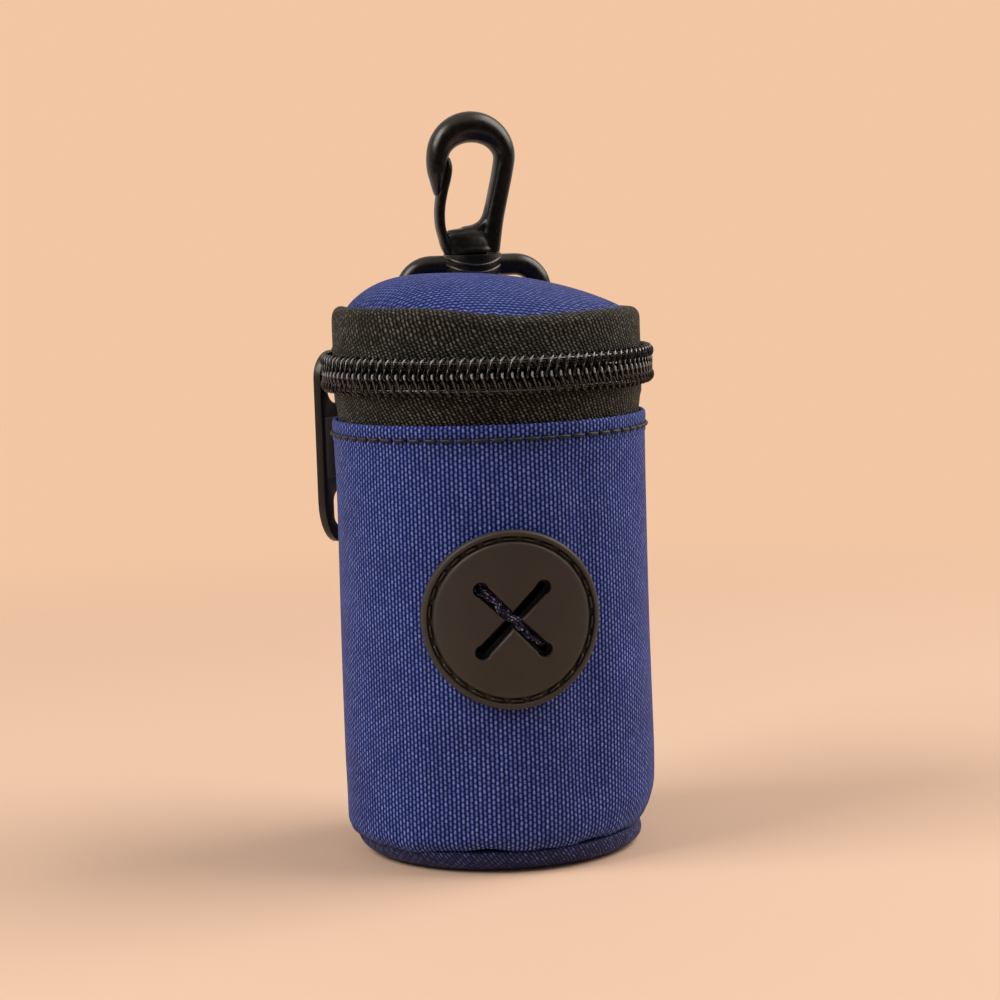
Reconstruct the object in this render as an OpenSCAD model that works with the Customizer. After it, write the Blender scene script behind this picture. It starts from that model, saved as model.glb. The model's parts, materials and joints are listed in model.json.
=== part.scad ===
// Round zipped pouch that holds and dispenses a roll of waste bags.
// Origin: centre of the foot, on the table. +Z up, front (the slot patch) towards -Y.

/* [Pouch] */
// Room between the bag roll and the outside of the cloth tube
roll_room = 7; // [6.8:0.1:12]
// Height of the hem's top edge above the table
hem_z = 70; // [68:1:90]
// Thickness of the outer cloth
cloth_t = 0.6; // [0.4:0.1:0.8]
// Thickness of the foam between cloth and lining
foam_t = 1.7; // [1:0.1:2.2]
// Thickness of the lining cloth
lining_t = 0.4; // [0.3:0.1:0.6]
// How far the folded hem stands proud of the tube
hem_proud = 0.2; // [0.1:0.05:0.4]
// Height of the folded hem band
hem_h = 3.4; // [2:0.2:6]
// Height of the base pan, from the table to its seam
pan_h = 3.6; // [3.2:0.2:7]
// How far the flat foot reaches past the bag roll
foot_lip = 1.5; // [0.8:0.1:2]
// Thickness of the stiff board in the base
board_t = 1.2; // [0.8:0.1:1.6]

/* [Slot patch] */
// Diameter of the rubber patch
patch_d = 27.7; // [24:0.1:32]
// Thickness of the rubber patch
patch_t = 1.5; // [1:0.1:2.5]
// Height of the patch's centre above the table
patch_z = 40.2; // [36:0.2:48]
// Width of the slots in the rubber
slot_w = 2.1; // [1.4:0.1:3]
// Width of the slots in the cloth behind the rubber
cloth_slot_w = 1.2; // [0.8:0.1:1.4]
// Distance from the patch's centre to the centre of each slot's round end
slot_reach = 6.8; // [5:0.1:8]
// Radius of the stitch groove
groove_r = 12.3; // [10:0.1:13]
// Width of the stitch groove
groove_w = 0.8; // [0.5:0.1:1.2]
// Depth of the stitch groove
groove_depth = 0.4; // [0.2:0.1:0.7]

/* [Zip] */
// Height of the zip's centre line above the hem
zip_rise = 7.5; // [7:0.1:10]
// Thickness of the woven zip tape
tape_t = 0.5; // [0.4:0.05:0.7]
// Width of the closed coil chain
chain_w = 6.2; // [5.8:0.1:6.4]
// Depth of the coil, from the tape outwards
coil_t = 1.95; // [1.6:0.05:2.2]
// Distance between neighbouring coil turns of one side
pitch = 1.5; // [1.45:0.01:1.9]
// Thickness of the coil's monofilament
wire_t = 0.52; // [0.4:0.01:0.54]
// Width of the swollen head of each turn
head_w = 0.8; // [0.6:0.02:0.82]
// Overlap of the heads of the two sides
mesh_depth = 1.5; // [1:0.1:2]
// Half angle of the plain cloth panel at the back, where the zip stops
back_half_deg = 40; // [34:1:44]

/* [Lid] */
// Height of the lid's seam above the zip's centre line
lid_rise = 9.3; // [8:0.1:12]
// Radius of the rounded shoulder below the lid's seam
shoulder_r = 2.6; // [1.5:0.1:3.2]
// Height of the dome above its seam
dome_h = 5.2; // [3:0.2:7]

/* [Slider and puller] */
// Length of the slider along the zip
slider_len = 8.8; // [7.5:0.1:9.2]
// Height of the slider's wide end
slider_w = 8.6; // [8.2:0.1:9.6]
// Thickness of the slider's plates
plate_t = 0.9; // [0.6:0.1:1.2]
// Place of the slider round the pouch, in degrees from the right-hand side
slider_deg = 140; // [140:1:150]
// Distance between the bridge's two legs
bridge_span = 5.5; // [5.4:0.1:6.4]
// Diameter of the bridge's legs
leg_d = 1.5; // [1:0.1:1.6]
// Clear height under the bridge
bridge_gap = 2.1; // [1.9:0.1:3]
// Length of the puller
puller_len = 32; // [26:0.5:38]
// Width of the puller
puller_w = 9; // [8:0.1:9.2]
// Thickness of the puller
puller_t = 1.5; // [1:0.1:1.6]
// Width of the puller's eye
eye_w = 5.2; // [4.4:0.1:5.6]
// Length of the puller's eye
eye_len = 7; // [6:0.1:8]
// Width of the oval hole near the puller's tip
tip_hole_w = 4; // [3:0.1:4]
// Length of the oval hole near the puller's tip
tip_hole_len = 6.2; // [5:0.1:8]

/* [Webbing and swivel loop] */
// Sideways place of the webbing tab, with its loop and hook
tab_x = 1; // [-3:0.1:3]
// Width of the webbing tab
webbing_w = 17.4; // [14:0.2:17.6]
// Thickness of the webbing
webbing_t = 1.1; // [0.8:0.1:1.3]
// Overall width of the oval loop
loop_w = 26.8; // [25:0.5:30]
// Thickness of the loop's bar
bar_d = 3.7; // [3:0.1:4]
// Height of the loop between the centres of its two bars
loop_h = 12.2; // [11.5:0.1:15]
// Radius of the loop's upper corners, on the bar's centre line
loop_corner_r = 4.5; // [3:0.1:6]
// Radius of the loop's lower corners, on the bar's centre line
loop_foot_r = 2.2; // [2.1:0.05:2.3]
// Distance of the loop's lower bar behind the zip tape, centre to face
loop_out = 3.8; // [3.3:0.1:5.3]
// Height of the loop's lower bar above the hem
loop_rise = 11; // [11:0.1:13]
// Forward lean of the loop and hook at rest
lean_deg = 3; // [0:0.5:4]
// Diameter of the swivel collar on top of the loop
collar_d = 9.8; // [9:0.1:11]
// Height of the swivel collar
collar_h = 3.9; // [3.7:0.1:5]

/* [Hook] */
// Diameter of the hook's stem in the collar
stem_d = 4.6; // [4:0.1:5.4]
// Diameter of the head that keeps the stem in the collar
stem_head_d = 7.2; // [6:0.1:8]
// Height of the hook above the collar
hook_h = 24; // [22:0.2:30]
// Outer radius of the hook's crown
crown_r = 7.7; // [7.1:0.1:8.5]
// Thickness of the crown's bar at the top
crown_t = 5.3; // [4.4:0.1:5.8]
// Thickness of the hook's spine
spine_t = 3.6; // [3:0.1:4.2]
// Depth of the hook, front to back
hook_depth = 5.2; // [4.4:0.1:6]
// Turn of the hook about its stem at rest
hook_turn_deg = 7; // [0:1:40]
// Thickness of the sprung gate leaf
gate_t = 1.2; // [1:0.1:1.4]
// Depth of the gate leaf, front to back
gate_depth = 3.4; // [2.6:0.1:4]

/* [Bag roll] */
// Diameter of the roll of bags
roll_d = 36; // [28:1:38]
// Length of the roll of bags
roll_len = 60; // [50:1:60]
// Diameter of the roll's card core
core_d = 13; // [11:0.5:16]
// Wall of the roll's card core
core_wall = 1.2; // [0.8:0.1:1.6]

/* [Hidden] */
$fn = 96;

navy = "#1f2a63";
black_cloth = "#1b1a1a";
black_plastic = "#161414";
rubber = "#2c2623";
foam_grey = "#5b5d63";
lining_black = "#25262b";

tiny = 0.01;
layer_gap = 0.1;
fit_gap = 0.3;
seam_gap = 0.05;

// Pouch wall, from the outside in
pouch_r = roll_d / 2 + roll_room;
hem_r = pouch_r + hem_proud;
cloth_in_r = pouch_r - cloth_t;
foam_out_r = cloth_in_r - layer_gap;
foam_in_r = foam_out_r - foam_t;
lining_out_r = foam_in_r - layer_gap;
lining_in_r = lining_out_r - lining_t;
hem_lap = 6;
lining_flare_z = hem_z - hem_lap - 1;
wall_low_z = pan_h + 1.6;

// Base
wall_curl_r = 2.2;
pan_inset = 1.4;
seam_step = 1.1;
board_inset = 0.7;
pan_r = pouch_r - pan_inset;
foot_r = roll_d / 2 + foot_lip;
seam_in_r = foot_r + seam_step;
board_r = foot_r - board_inset;
board_z = cloth_t + layer_gap;
base_lining_z = board_z + board_t + layer_gap;
roll_z = base_lining_z + lining_t;
binding_w = 2.2;
binding_t = 0.6;

// Zip
zip_z = hem_z + zip_rise;
tape_r = pouch_r - 0.3;
tape_edge = 0.9;
tape_low_r = cloth_in_r - 2 * layer_gap;
flare_low_z = hem_z + 0.4;
flare_high_z = zip_z - slider_w / 2 - layer_gap;
coil_in_r = tape_r + seam_gap;
coil_out_r = coil_in_r + coil_t;
coil_mid_r = (coil_in_r + coil_out_r) / 2;
tooth_step = 360 * pitch / (2 * PI * coil_mid_r);
zip_start = 90 + back_half_deg;
zip_turn = 360 - 2 * back_half_deg;
core_cord_r = coil_t / 2 - wire_t - 2 * seam_gap;

// Slider and puller, along the slider's own radial line
slider_top_n = coil_out_r + fit_gap;
flange_tip_n = tape_r + fit_gap;
inner_plate_n = sqrt(pow(tape_r - tape_t, 2) - pow(slider_len / 2, 2)) - fit_gap;
bridge_n = slider_top_n + plate_t + bridge_gap;
strap_t = 1;
wedge_from = slider_len * 0.16;
wedge_half = tape_edge - 0.25;
flange_in = chain_w / 2 + 0.25;
puller_n = slider_top_n + plate_t + (bridge_gap - puller_t) * 0.6;
puller_side = bridge_span / 2;
eye_play = 0.15;
eye_top = leg_d / 2 + eye_play;
puller_top = eye_top + (puller_w - eye_w) / 2;
tip_rise = 7;
tip_hole_z = 5.8;
panel_edge = 1.1;
panel_depth = 0.3;

// Lid
lid_z = zip_z + lid_rise;
lid_r = tape_r - shoulder_r;
shoulder_turn = 88;
dome_ball_r = (pow(lid_r, 2) + pow(dome_h, 2)) / (2 * dome_h);
lid_pad_r = lid_r - binding_w - 2 * layer_gap;
panel_low_z = hem_z + fit_gap;

// Webbing tab and swivel loop
loop_y = tape_r + loop_out;
loop_z = hem_z + loop_rise;
bar_r = bar_d / 2;
wrap_in_r = bar_r + layer_gap;
wrap_r = wrap_in_r + webbing_t;
tab_low_z = lid_z - shoulder_r - webbing_t;
tab_high_z = lid_z - shoulder_r + 1.6;
tab_r = tape_r + layer_gap;
loop_half = loop_w / 2 - bar_r;
stem_gap = 0.1;
end_play = 0.2;
collar_rise = 0.2;
collar_top = loop_h + bar_r + collar_rise;

// Hook, in its own plane: u across, w up from the collar's top
hook_base_w = 0.2;
base_foot_t = 0.8;
base_foot_lip = 0.3;
base_cap_t = 0.4;
crown_u = 0;
crown_stretch = 1;
crown_w = hook_h - crown_r - crown_stretch;
spine_foot_u = 2.7;
spine_foot_w = 3.2;
nose_tip_u = -6.6;
nose_len = 5.4;
nose_tip_w = crown_w - nose_len;
nose_t = 1.1;
nose_bead = 0.3;
nose_taper = 0.7;
spine_swell = 0.25;
base_half = 5.4;
base_h = 3.6;
gate_root_u = -4.8;
gate_root_w = 2.7;
gate_root_r = 1;
gate_tip_u = -4.3;
gate_lap = 0.3;
gate_tip_w = crown_w + gate_lap;
gate_gap = 0.2;
leaf_low = 2.2;
leaf_high = 5.4;
leaf_bow = 0.9;
leaf_bow_high = 0.75;
seat_top = 0.9;
seat_low = 1;
seat_clear = 0.05;
seat_reach = 3;
seat_reach_top = 3.2;
heel_cut = 5.4;
heel_reach = 3;
heel_tilt = 8;
stem_head_t = 1.6;

// Points on an arc, from one angle to another
function arc(c, r, from, to, steps) =
    [for (i = [0 : steps]) let (a = from + (to - from) * i / steps) c + r * [cos(a), sin(a)]];

// Height of the dome's ball centre
function dome_centre_z() = lid_z + dome_h - dome_ball_r;

module ring(r_out, r_in, z_low, z_high) {
    translate([0, 0, z_low]) difference() {
        cylinder(r = r_out, h = z_high - z_low);
        translate([0, 0, -1]) cylinder(r = r_in, h = z_high - z_low + 2);
    }
}

module stadium(length, width) {
    square([length, width], center = true);
    for (side = [-1, 1]) translate([side * length / 2, 0]) circle(d = width);
}

// Upright stadium, from a low to a high end
module upright_stadium(z_low, z_high, half) {
    translate([0, (z_low + z_high) / 2]) rotate(90) stadium(z_high - z_low - 2 * half, 2 * half);
}

// The X through the front of the wall
module slot_cut(width) {
    translate([0, 0, patch_z]) rotate([90, 0, 0])
        linear_extrude(height = pouch_r + 2 * patch_t)
            for (turn = [45, -45]) rotate(turn) stadium(2 * slot_reach, width);
}

// ---- pouch ----

module body_shell() {
    curl = [pouch_r - wall_curl_r, pan_h + layer_gap + wall_curl_r];
    color(navy) difference() {
        rotate_extrude() polygon(concat(
            [[seam_in_r, curl[1] - wall_curl_r]],
            arc(curl, wall_curl_r, -90, 0, 6),
            [[pouch_r, hem_z - hem_h], [hem_r, hem_z - hem_h + 0.3], [hem_r, hem_z - 0.3],
             [hem_r - 0.2, hem_z], [cloth_in_r, hem_z]],
            arc(curl, wall_curl_r - cloth_t, 0, -90, 6),
            [[seam_in_r, curl[1] - wall_curl_r + cloth_t]]));
        slot_cut(cloth_slot_w);
    }
}

module body_foam() {
    color(foam_grey) difference() {
        ring(foam_out_r, foam_in_r, wall_low_z + wall_curl_r, lining_flare_z - layer_gap);
        slot_cut(cloth_slot_w);
    }
}

module body_lining() {
    hug_r = tape_low_r - tape_t - layer_gap;
    top_z = hem_z - 1;
    flare_z = lining_flare_z + 3;
    color(lining_black) difference() {
        rotate_extrude() polygon([
            [lining_out_r, wall_low_z + wall_curl_r], [lining_out_r, lining_flare_z],
            [hug_r, flare_z], [hug_r, top_z], [hug_r - lining_t, top_z],
            [hug_r - lining_t, flare_z], [lining_in_r, lining_flare_z],
            [lining_in_r, wall_low_z + wall_curl_r]]);
        slot_cut(cloth_slot_w);
    }
}

module base_panel() {
    pan_in_r = pan_r - cloth_t;
    color(navy) rotate_extrude() polygon(concat(
        [[0, 0]],
        [for (i = [0 : 8]) let (a = 90 - 90 * i / 8)
            [foot_r + (pan_r - foot_r) * cos(a), pan_h * (1 - sin(a))]],
        [[seam_in_r, pan_h], [seam_in_r, pan_h - cloth_t]],
        [for (i = [0 : 8]) let (a = 90 * i / 8)
            [foot_r + (pan_in_r - foot_r) * cos(a), pan_h - cloth_t - (pan_h - 2 * cloth_t) * sin(a)]],
        [[0, cloth_t]]));
}

module base_board() {
    color(foam_grey) translate([0, 0, board_z]) cylinder(r = board_r, h = board_t);
}

module base_lining() {
    color(lining_black) translate([0, 0, base_lining_z]) cylinder(r = board_r, h = lining_t);
}

// Tape folded round the seam allowances inside the base
module base_binding() {
    seam_low = pan_h - cloth_t - seam_gap;
    seam_high = pan_h + layer_gap + cloth_t + seam_gap;
    bind_in_r = seam_in_r - binding_t - seam_gap;
    color(black_cloth) difference() {
        ring(bind_in_r + binding_w, bind_in_r, seam_low - binding_t, seam_high + binding_t);
        ring(pouch_r, seam_in_r - seam_gap, seam_low, seam_high);
    }
}

module slot_patch() {
    back_r = pouch_r + seam_gap;
    face_r = back_r + patch_t;
    color(rubber) difference() {
        intersection() {
            ring(face_r, back_r, patch_z - patch_d / 2 - 1, patch_z + patch_d / 2 + 1);
            translate([0, 0, patch_z]) rotate([90, 0, 0]) cylinder(d = patch_d, h = face_r + 1);
        }
        slot_cut(slot_w);
        intersection() {
            ring(face_r + 1, face_r - groove_depth, patch_z - patch_d / 2, patch_z + patch_d / 2);
            translate([0, 0, patch_z]) rotate([90, 0, 0]) difference() {
                cylinder(r = groove_r + groove_w / 2, h = face_r + 2);
                cylinder(r = groove_r - groove_w / 2, h = face_r + 2);
            }
        }
    }
}

// ---- zip ----

module zip_sweep() {
    rotate(zip_start) rotate_extrude(angle = zip_turn) children();
}

module lower_tape() {
    top = zip_z - tape_edge;
    color(black_cloth) zip_sweep() polygon([
        [tape_low_r, hem_z - hem_lap], [tape_low_r, flare_low_z], [tape_r, flare_high_z],
        [tape_r, top], [tape_r - tape_t, top], [tape_r - tape_t, flare_high_z],
        [tape_low_r - tape_t, flare_low_z], [tape_low_r - tape_t, hem_z - hem_lap]]);
}

// One flattened turn of the coil, its head towards +Z, drawn at the chain's centre line
module coil_turn() {
    root = -chain_w / 2;
    tip = mesh_depth / 2;
    translate([coil_mid_r, wire_t / 2, 0]) rotate([90, 0, 0]) linear_extrude(height = wire_t)
        difference() {
            upright_stadium(root, tip, coil_t / 2);
            upright_stadium(root + wire_t, tip - wire_t, coil_t / 2 - wire_t);
        }
    translate([coil_mid_r - coil_t * 0.32, 0, tip - head_w / 2]) rotate([0, 90, 0])
        cylinder(d = head_w, h = coil_t * 0.64, $fn = 24);
}

// One side of the chain: its turns and the core cord that runs through them
module coil(first_deg, last_deg, phase) {
    for (i = [0 : floor((last_deg - first_deg) / tooth_step - phase)])
        rotate(first_deg + (i + phase) * tooth_step) coil_turn();
    rotate(first_deg) rotate_extrude(angle = last_deg - first_deg)
        translate([coil_mid_r, -chain_w / 2 + wire_t + core_cord_r + seam_gap])
            circle(r = core_cord_r, $fn = 24);
}

coil_first_deg = slider_deg - asin(wedge_from / coil_mid_r) + tooth_step / 2;
coil_last_deg = zip_start + zip_turn - tooth_step / 2;

module lower_coil() {
    color(black_plastic) translate([0, 0, zip_z]) coil(coil_first_deg, coil_last_deg, 0);
}

module upper_coil() {
    color(black_plastic) translate([0, 0, zip_z]) mirror([0, 0, 1])
        coil(coil_first_deg, coil_last_deg, 0.5);
}

// ---- lid ----

// Side wall of the lid with its rounded shoulder, as a half profile
module lid_side(thick, z_low) {
    centre = [tape_r - shoulder_r, lid_z - shoulder_r];
    polygon(concat(
        [[tape_r, z_low]],
        arc(centre, shoulder_r, 0, shoulder_turn, 6),
        arc(centre, shoulder_r - thick, shoulder_turn, 0, 6),
        [[tape_r - thick, z_low]]));
}

module upper_tape() {
    color(black_cloth) zip_sweep() lid_side(tape_t, zip_z + tape_edge);
}

module back_panel() {
    color(navy) rotate(90 - back_half_deg + 0.5)
        rotate_extrude(angle = 2 * back_half_deg - 1) lid_side(cloth_t, panel_low_z);
}

// A layer of the dome, a given depth under its outer face
module dome_layer(depth, thick, r) {
    intersection() {
        translate([0, 0, dome_centre_z()]) difference() {
            sphere(r = dome_ball_r - depth);
            sphere(r = dome_ball_r - depth - thick);
        }
        translate([0, 0, lid_z - shoulder_r]) cylinder(r = r, h = dome_h + 2 * shoulder_r);
    }
}

module lid_panel() {
    color(navy) dome_layer(0, cloth_t, lid_r);
}

module lid_foam() {
    color(foam_grey) dome_layer(cloth_t + layer_gap, foam_t, lid_pad_r);
}

module lid_lining() {
    color(lining_black) dome_layer(cloth_t + foam_t + 2 * layer_gap, lining_t, lid_pad_r);
}

// Tape folded round the seam allowance inside the lid
module lid_binding() {
    top = lid_z - cloth_t - layer_gap - 0.2;
    color(black_cloth) ring(lid_r - 0.2, lid_r - 0.2 - binding_w, top - 2 * binding_t, top);
}

// Webbing sewn to the back panel's shoulder and folded round the loop's lower bar
module loop_tab() {
    fold = [loop_y, loop_z];
    outer_y = tab_r + 2 * webbing_t;
    color(black_cloth) difference() {
        translate([tab_x - webbing_w / 2, 0, 0]) rotate([90, 0, 90])
            linear_extrude(height = webbing_w)
            difference() {
                union() {
                    translate(fold) circle(r = wrap_r);
                    polygon([
                        [fold[0] - wrap_r * cos(20), fold[1] + wrap_r * sin(20)],
                        [tab_r - 3, tab_low_z], [tab_r - 3, tab_high_z], [outer_y, tab_high_z],
                        [fold[0] + wrap_r * sin(30), fold[1] + wrap_r * cos(30)]]);
                }
                translate(fold) circle(r = wrap_in_r);
            }
        translate([0, 0, hem_z]) cylinder(r = tab_r, h = 2 * lid_rise);
    }
}

// ---- slider and puller ----

module at_slider() {
    rotate(slider_deg) translate([0, 0, zip_z]) children();
}

// Outline drawn along the zip and up, thickened from one radial distance to another
module radial_slab(n_low, n_high) {
    translate([n_low, 0, 0]) rotate([90, 0, 90]) linear_extrude(height = n_high - n_low) children();
}

module slider_outline() {
    half = slider_len / 2;
    nose = slider_w / 2;
    tail = flange_in + 0.7;
    polygon([[-half + 1, nose], [-half, nose - 1.2], [-half, 1 - nose], [-half + 1, -nose],
        [-0.5, -nose], [half - 1, -tail], [half, 1 - tail], [half, tail - 1], [half - 1, tail],
        [-0.5, nose]]);
}

module slider_body() {
    half = slider_len / 2;
    color(black_plastic) at_slider() {
        radial_slab(slider_top_n, slider_top_n + plate_t) slider_outline();
        radial_slab(inner_plate_n - 0.7, inner_plate_n) slider_outline();
        radial_slab(flange_tip_n, slider_top_n + tiny) difference() {
            slider_outline();
            square([slider_len + 1, 2 * flange_in], center = true);
        }
        radial_slab(inner_plate_n - tiny, slider_top_n + tiny) polygon([
            [-half + 0.2, wedge_half - 0.1], [-half + 1.4, wedge_half], [-wedge_from, 0.2],
            [-wedge_from, -0.2], [-half + 1.4, -wedge_half], [-half + 0.2, 0.1 - wedge_half]]);
        for (side = [-1, 1])
            translate([slider_top_n + plate_t - tiny, side * bridge_span / 2, 0]) rotate([0, 90, 0])
                cylinder(d = leg_d, h = bridge_gap + 2 * tiny, $fn = 32);
        radial_slab(bridge_n, bridge_n + strap_t) stadium(bridge_span, leg_d);
    }
}

module puller_outline() {
    half = puller_w / 2;
    low = puller_top - puller_len;
    polygon(concat(
        arc([0, puller_top - half], half, 0, 180, 16),
        [for (i = [0 : 16]) let (a = 180 + 180 * i / 16)
            [half * cos(a), low + tip_rise + tip_rise * sin(a)]]));
}

module puller_holes(grow) {
    half = eye_w / 2;
    low = puller_top - puller_len + tip_hole_z;
    upright_stadium(eye_top - eye_len - grow, eye_top + grow, half + grow);
    upright_stadium(low - tip_hole_len / 2 - grow, low + tip_hole_len / 2 + grow,
        tip_hole_w / 2 + grow);
}

// Flat puller that hangs from one leg of the bridge, with a shallow panel pressed in each face
module puller() {
    low = puller_top - puller_len;
    panel_low = low + tip_hole_z + tip_hole_len / 2 + 2 * panel_edge;
    panel_high = eye_top - eye_len - 2 * panel_edge;
    color(black_plastic) at_slider() translate([0, puller_side, 0]) difference() {
        radial_slab(puller_n, puller_n + puller_t) difference() {
            puller_outline();
            puller_holes(0);
        }
        for (face = [puller_n - tiny, puller_n + puller_t - panel_depth])
            radial_slab(face, face + panel_depth + tiny)
                translate([0, (panel_low + panel_high) / 2])
                    square([puller_w - 2 * panel_edge, panel_high - panel_low], center = true);
    }
}

// ---- swivel loop and hook ----

// Frame of the loop: origin on its lower bar, leaning forward at rest
module at_loop() {
    translate([tab_x, loop_y, loop_z]) rotate([lean_deg, 0, 0]) children();
}

// Quarter turn of the bar, round its bend's centre
module loop_corner(x, z, bend_r, turn) {
    translate([x, 0, z]) rotate([90, 0, 0]) rotate(turn) rotate_extrude(angle = 90)
        translate([bend_r, 0]) circle(r = bar_r, $fn = 32);
}

// Level bar between two corners
module loop_rail(z, bend_r) {
    half = loop_half - bend_r;
    translate([-half, 0, z]) rotate([0, 90, 0]) cylinder(r = bar_r, h = 2 * half, $fn = 32);
}

module swivel_loop() {
    high = loop_h - loop_corner_r;
    color(black_plastic) at_loop() difference() {
        union() {
            loop_rail(0, loop_foot_r);
            loop_rail(loop_h, loop_corner_r);
            for (x = [-loop_half, loop_half])
                translate([x, 0, loop_foot_r]) cylinder(r = bar_r, h = high - loop_foot_r, $fn = 32);
            loop_corner(loop_half - loop_corner_r, high, loop_corner_r, 0);
            loop_corner(loop_corner_r - loop_half, high, loop_corner_r, 90);
            loop_corner(loop_foot_r - loop_half, loop_foot_r, loop_foot_r, 180);
            loop_corner(loop_half - loop_foot_r, loop_foot_r, loop_foot_r, 270);
            translate([0, 0, collar_top - collar_h]) cylinder(d = collar_d, h = collar_h);
        }
        translate([0, 0, loop_h - collar_h]) cylinder(d = stem_d + 2 * stem_gap, h = 2 * collar_h);
    }
}

// Frame of the hook: origin on the collar's top, x across the hook, y through its thickness
module at_hook() {
    at_loop() translate([0, 0, collar_top]) rotate(hook_turn_deg) children();
}

// Centre line of the hook's bar as [u, w, half thickness, half depth]
hook_steps = 18;
crown_mid_r = crown_r - spine_t / 2;
hook_path = concat(
    [for (i = [0 : 4]) let (s = i / 5)
        [spine_foot_u + (crown_u + crown_mid_r - spine_foot_u) * s,
         spine_foot_w + (crown_w - spine_foot_w) * s, spine_t / 2 + spine_swell * (1 - s), hook_depth / 2]],
    [for (i = [0 : hook_steps]) let (a = 180 * i / hook_steps,
            half = spine_t / 2 + (crown_t - spine_t) / 2 * pow(sin(a), 1.5),
            reach = crown_r + sin(a) * (hook_h - crown_w - crown_r) - half)
        [crown_u + reach * cos(a), crown_w + reach * sin(a), half, hook_depth / 2]],
    [for (i = [1 : 5]) let (s = i / 5)
        [crown_u - crown_mid_r + (nose_tip_u - crown_u + crown_mid_r) * s,
         crown_w + (nose_tip_w - crown_w) * s,
         spine_t / 2 + (nose_t - spine_t) / 2 * pow(s, 0.8), hook_depth / 2 - nose_taper * s * s]]);

section_sides = 14;

// Direction of the centre line at one of its points
function path_turn(i) =
    let (a = hook_path[max(i - 1, 0)], b = hook_path[min(i + 1, len(hook_path) - 1)])
    atan2(b[1] - a[1], b[0] - a[0]);

function hook_ring(i) =
    let (p = hook_path[i], turn = path_turn(i))
    [for (k = [0 : section_sides - 1]) let (a = 360 * k / section_sides, across = p[2] * cos(a))
        [p[0] + across * sin(turn), p[3] * sin(a), p[1] - across * cos(turn)]];

module hook_bar() {
    count = len(hook_path);
    n = section_sides;
    points = [for (i = [0 : count - 1]) each hook_ring(i)];
    sides = [for (i = [0 : count - 2], k = [0 : n - 1])
        [i * n + k, (i + 1) * n + k, (i + 1) * n + (k + 1) % n, i * n + (k + 1) % n]];
    polyhedron(points, concat(
        [[for (k = [0 : n - 1]) k]], sides, [[for (k = [n - 1 : -1 : 0]) (count - 1) * n + k]]));
}

// Seat of the gate: what the nose leaves free for the leaf
module gate_seat() {
    tip = [gate_tip_u - gate_t / 2 - gate_gap, gate_tip_w + seat_top];
    low = [nose_tip_u + nose_t / 2 + seat_clear, nose_tip_w - seat_low];
    rotate([90, 0, 0]) translate([0, 0, -hook_depth]) linear_extrude(height = 2 * hook_depth)
        polygon([tip, low, [low[0] + seat_reach, low[1]], [tip[0] + seat_reach_top, tip[1]]]);
}

module hook_body() {
    color(black_plastic) at_hook() difference() {
        union() {
            hook_bar();
            translate([nose_tip_u, 0, nose_tip_w]) sphere(d = nose_t + nose_bead, $fn = 20);
            hull() {
                translate([0, 0, hook_base_w])
                    cylinder(d = collar_d + 2 * base_foot_lip, h = base_foot_t, $fn = 40);
                translate([0, 0, base_h - 1.5 * base_cap_t]) intersection() {
                    cube([2 * base_half, hook_depth, base_cap_t], center = true);
                    cylinder(r = base_half, h = base_h, center = true, $fn = 40);
                }
                translate([spine_foot_u, 0, spine_foot_w]) rotate([90, 0, 0])
                    cylinder(r = spine_t / 2, h = hook_depth * 0.7, center = true, $fn = 24);
            }
            translate([0, 0, -collar_h - end_play]) cylinder(d = stem_d, h = collar_h + base_h);
            translate([0, 0, -collar_h - end_play - stem_head_t])
                cylinder(d = stem_head_d, h = stem_head_t);
        }
        gate_seat();
        translate([gate_root_u, 0, gate_root_w]) rotate([90, 0, 0])
            cylinder(r = gate_root_r + stem_gap, h = 2 * hook_depth, center = true, $fn = 32);
        translate([gate_root_u - heel_reach, 0, gate_root_w + heel_reach]) rotate([0, heel_tilt, 0])
            cube([heel_cut, 2 * hook_depth, heel_cut], center = true);
    }
}

// Sprung leaf that closes the hook's mouth, on its root
module hook_gate() {
    half = gate_t / 2;
    color(black_plastic) at_hook() {
        translate([gate_root_u, gate_depth / 2, gate_root_w]) rotate([90, 0, 0]) {
            cylinder(r = gate_root_r, h = gate_depth, $fn = 32);
            linear_extrude(height = gate_depth) polygon([
                [-gate_root_r, 0], [-leaf_bow - half, leaf_low], [-leaf_bow_high - half, leaf_high],
                [gate_tip_u - gate_root_u - half, gate_tip_w - gate_root_w],
                [gate_tip_u - gate_root_u, gate_tip_w - gate_root_w + half],
                [gate_tip_u - gate_root_u + half, gate_tip_w - gate_root_w],
                [half - leaf_bow_high, leaf_high], [half - leaf_bow, leaf_low], [gate_root_r, 0]]);
        }
    }
}

// ---- bag roll ----

module bag_roll() {
    chamfer = 0.8;
    color("#3b3f46") translate([0, 0, roll_z]) rotate_extrude() polygon([
        [core_d / 2 + seam_gap, 0], [roll_d / 2 - chamfer, 0], [roll_d / 2, chamfer],
        [roll_d / 2, roll_len - chamfer], [roll_d / 2 - chamfer, roll_len],
        [core_d / 2 + seam_gap, roll_len]]);
}

module roll_core() {
    color("#a98a63") ring(core_d / 2, core_d / 2 - core_wall, roll_z, roll_z + roll_len);
}

body_shell();
body_foam();
body_lining();
base_panel();
base_board();
base_lining();
base_binding();
slot_patch();
lower_tape();
lower_coil();
lid_panel();
lid_foam();
lid_lining();
lid_binding();
upper_tape();
upper_coil();
back_panel();
loop_tab();
slider_body();
puller();
swivel_loop();
hook_body();
hook_gate();
bag_roll();
roll_core();
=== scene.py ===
"""Looks of a zipped round pouch that dispenses waste bags from a roll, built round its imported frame."""

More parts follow.
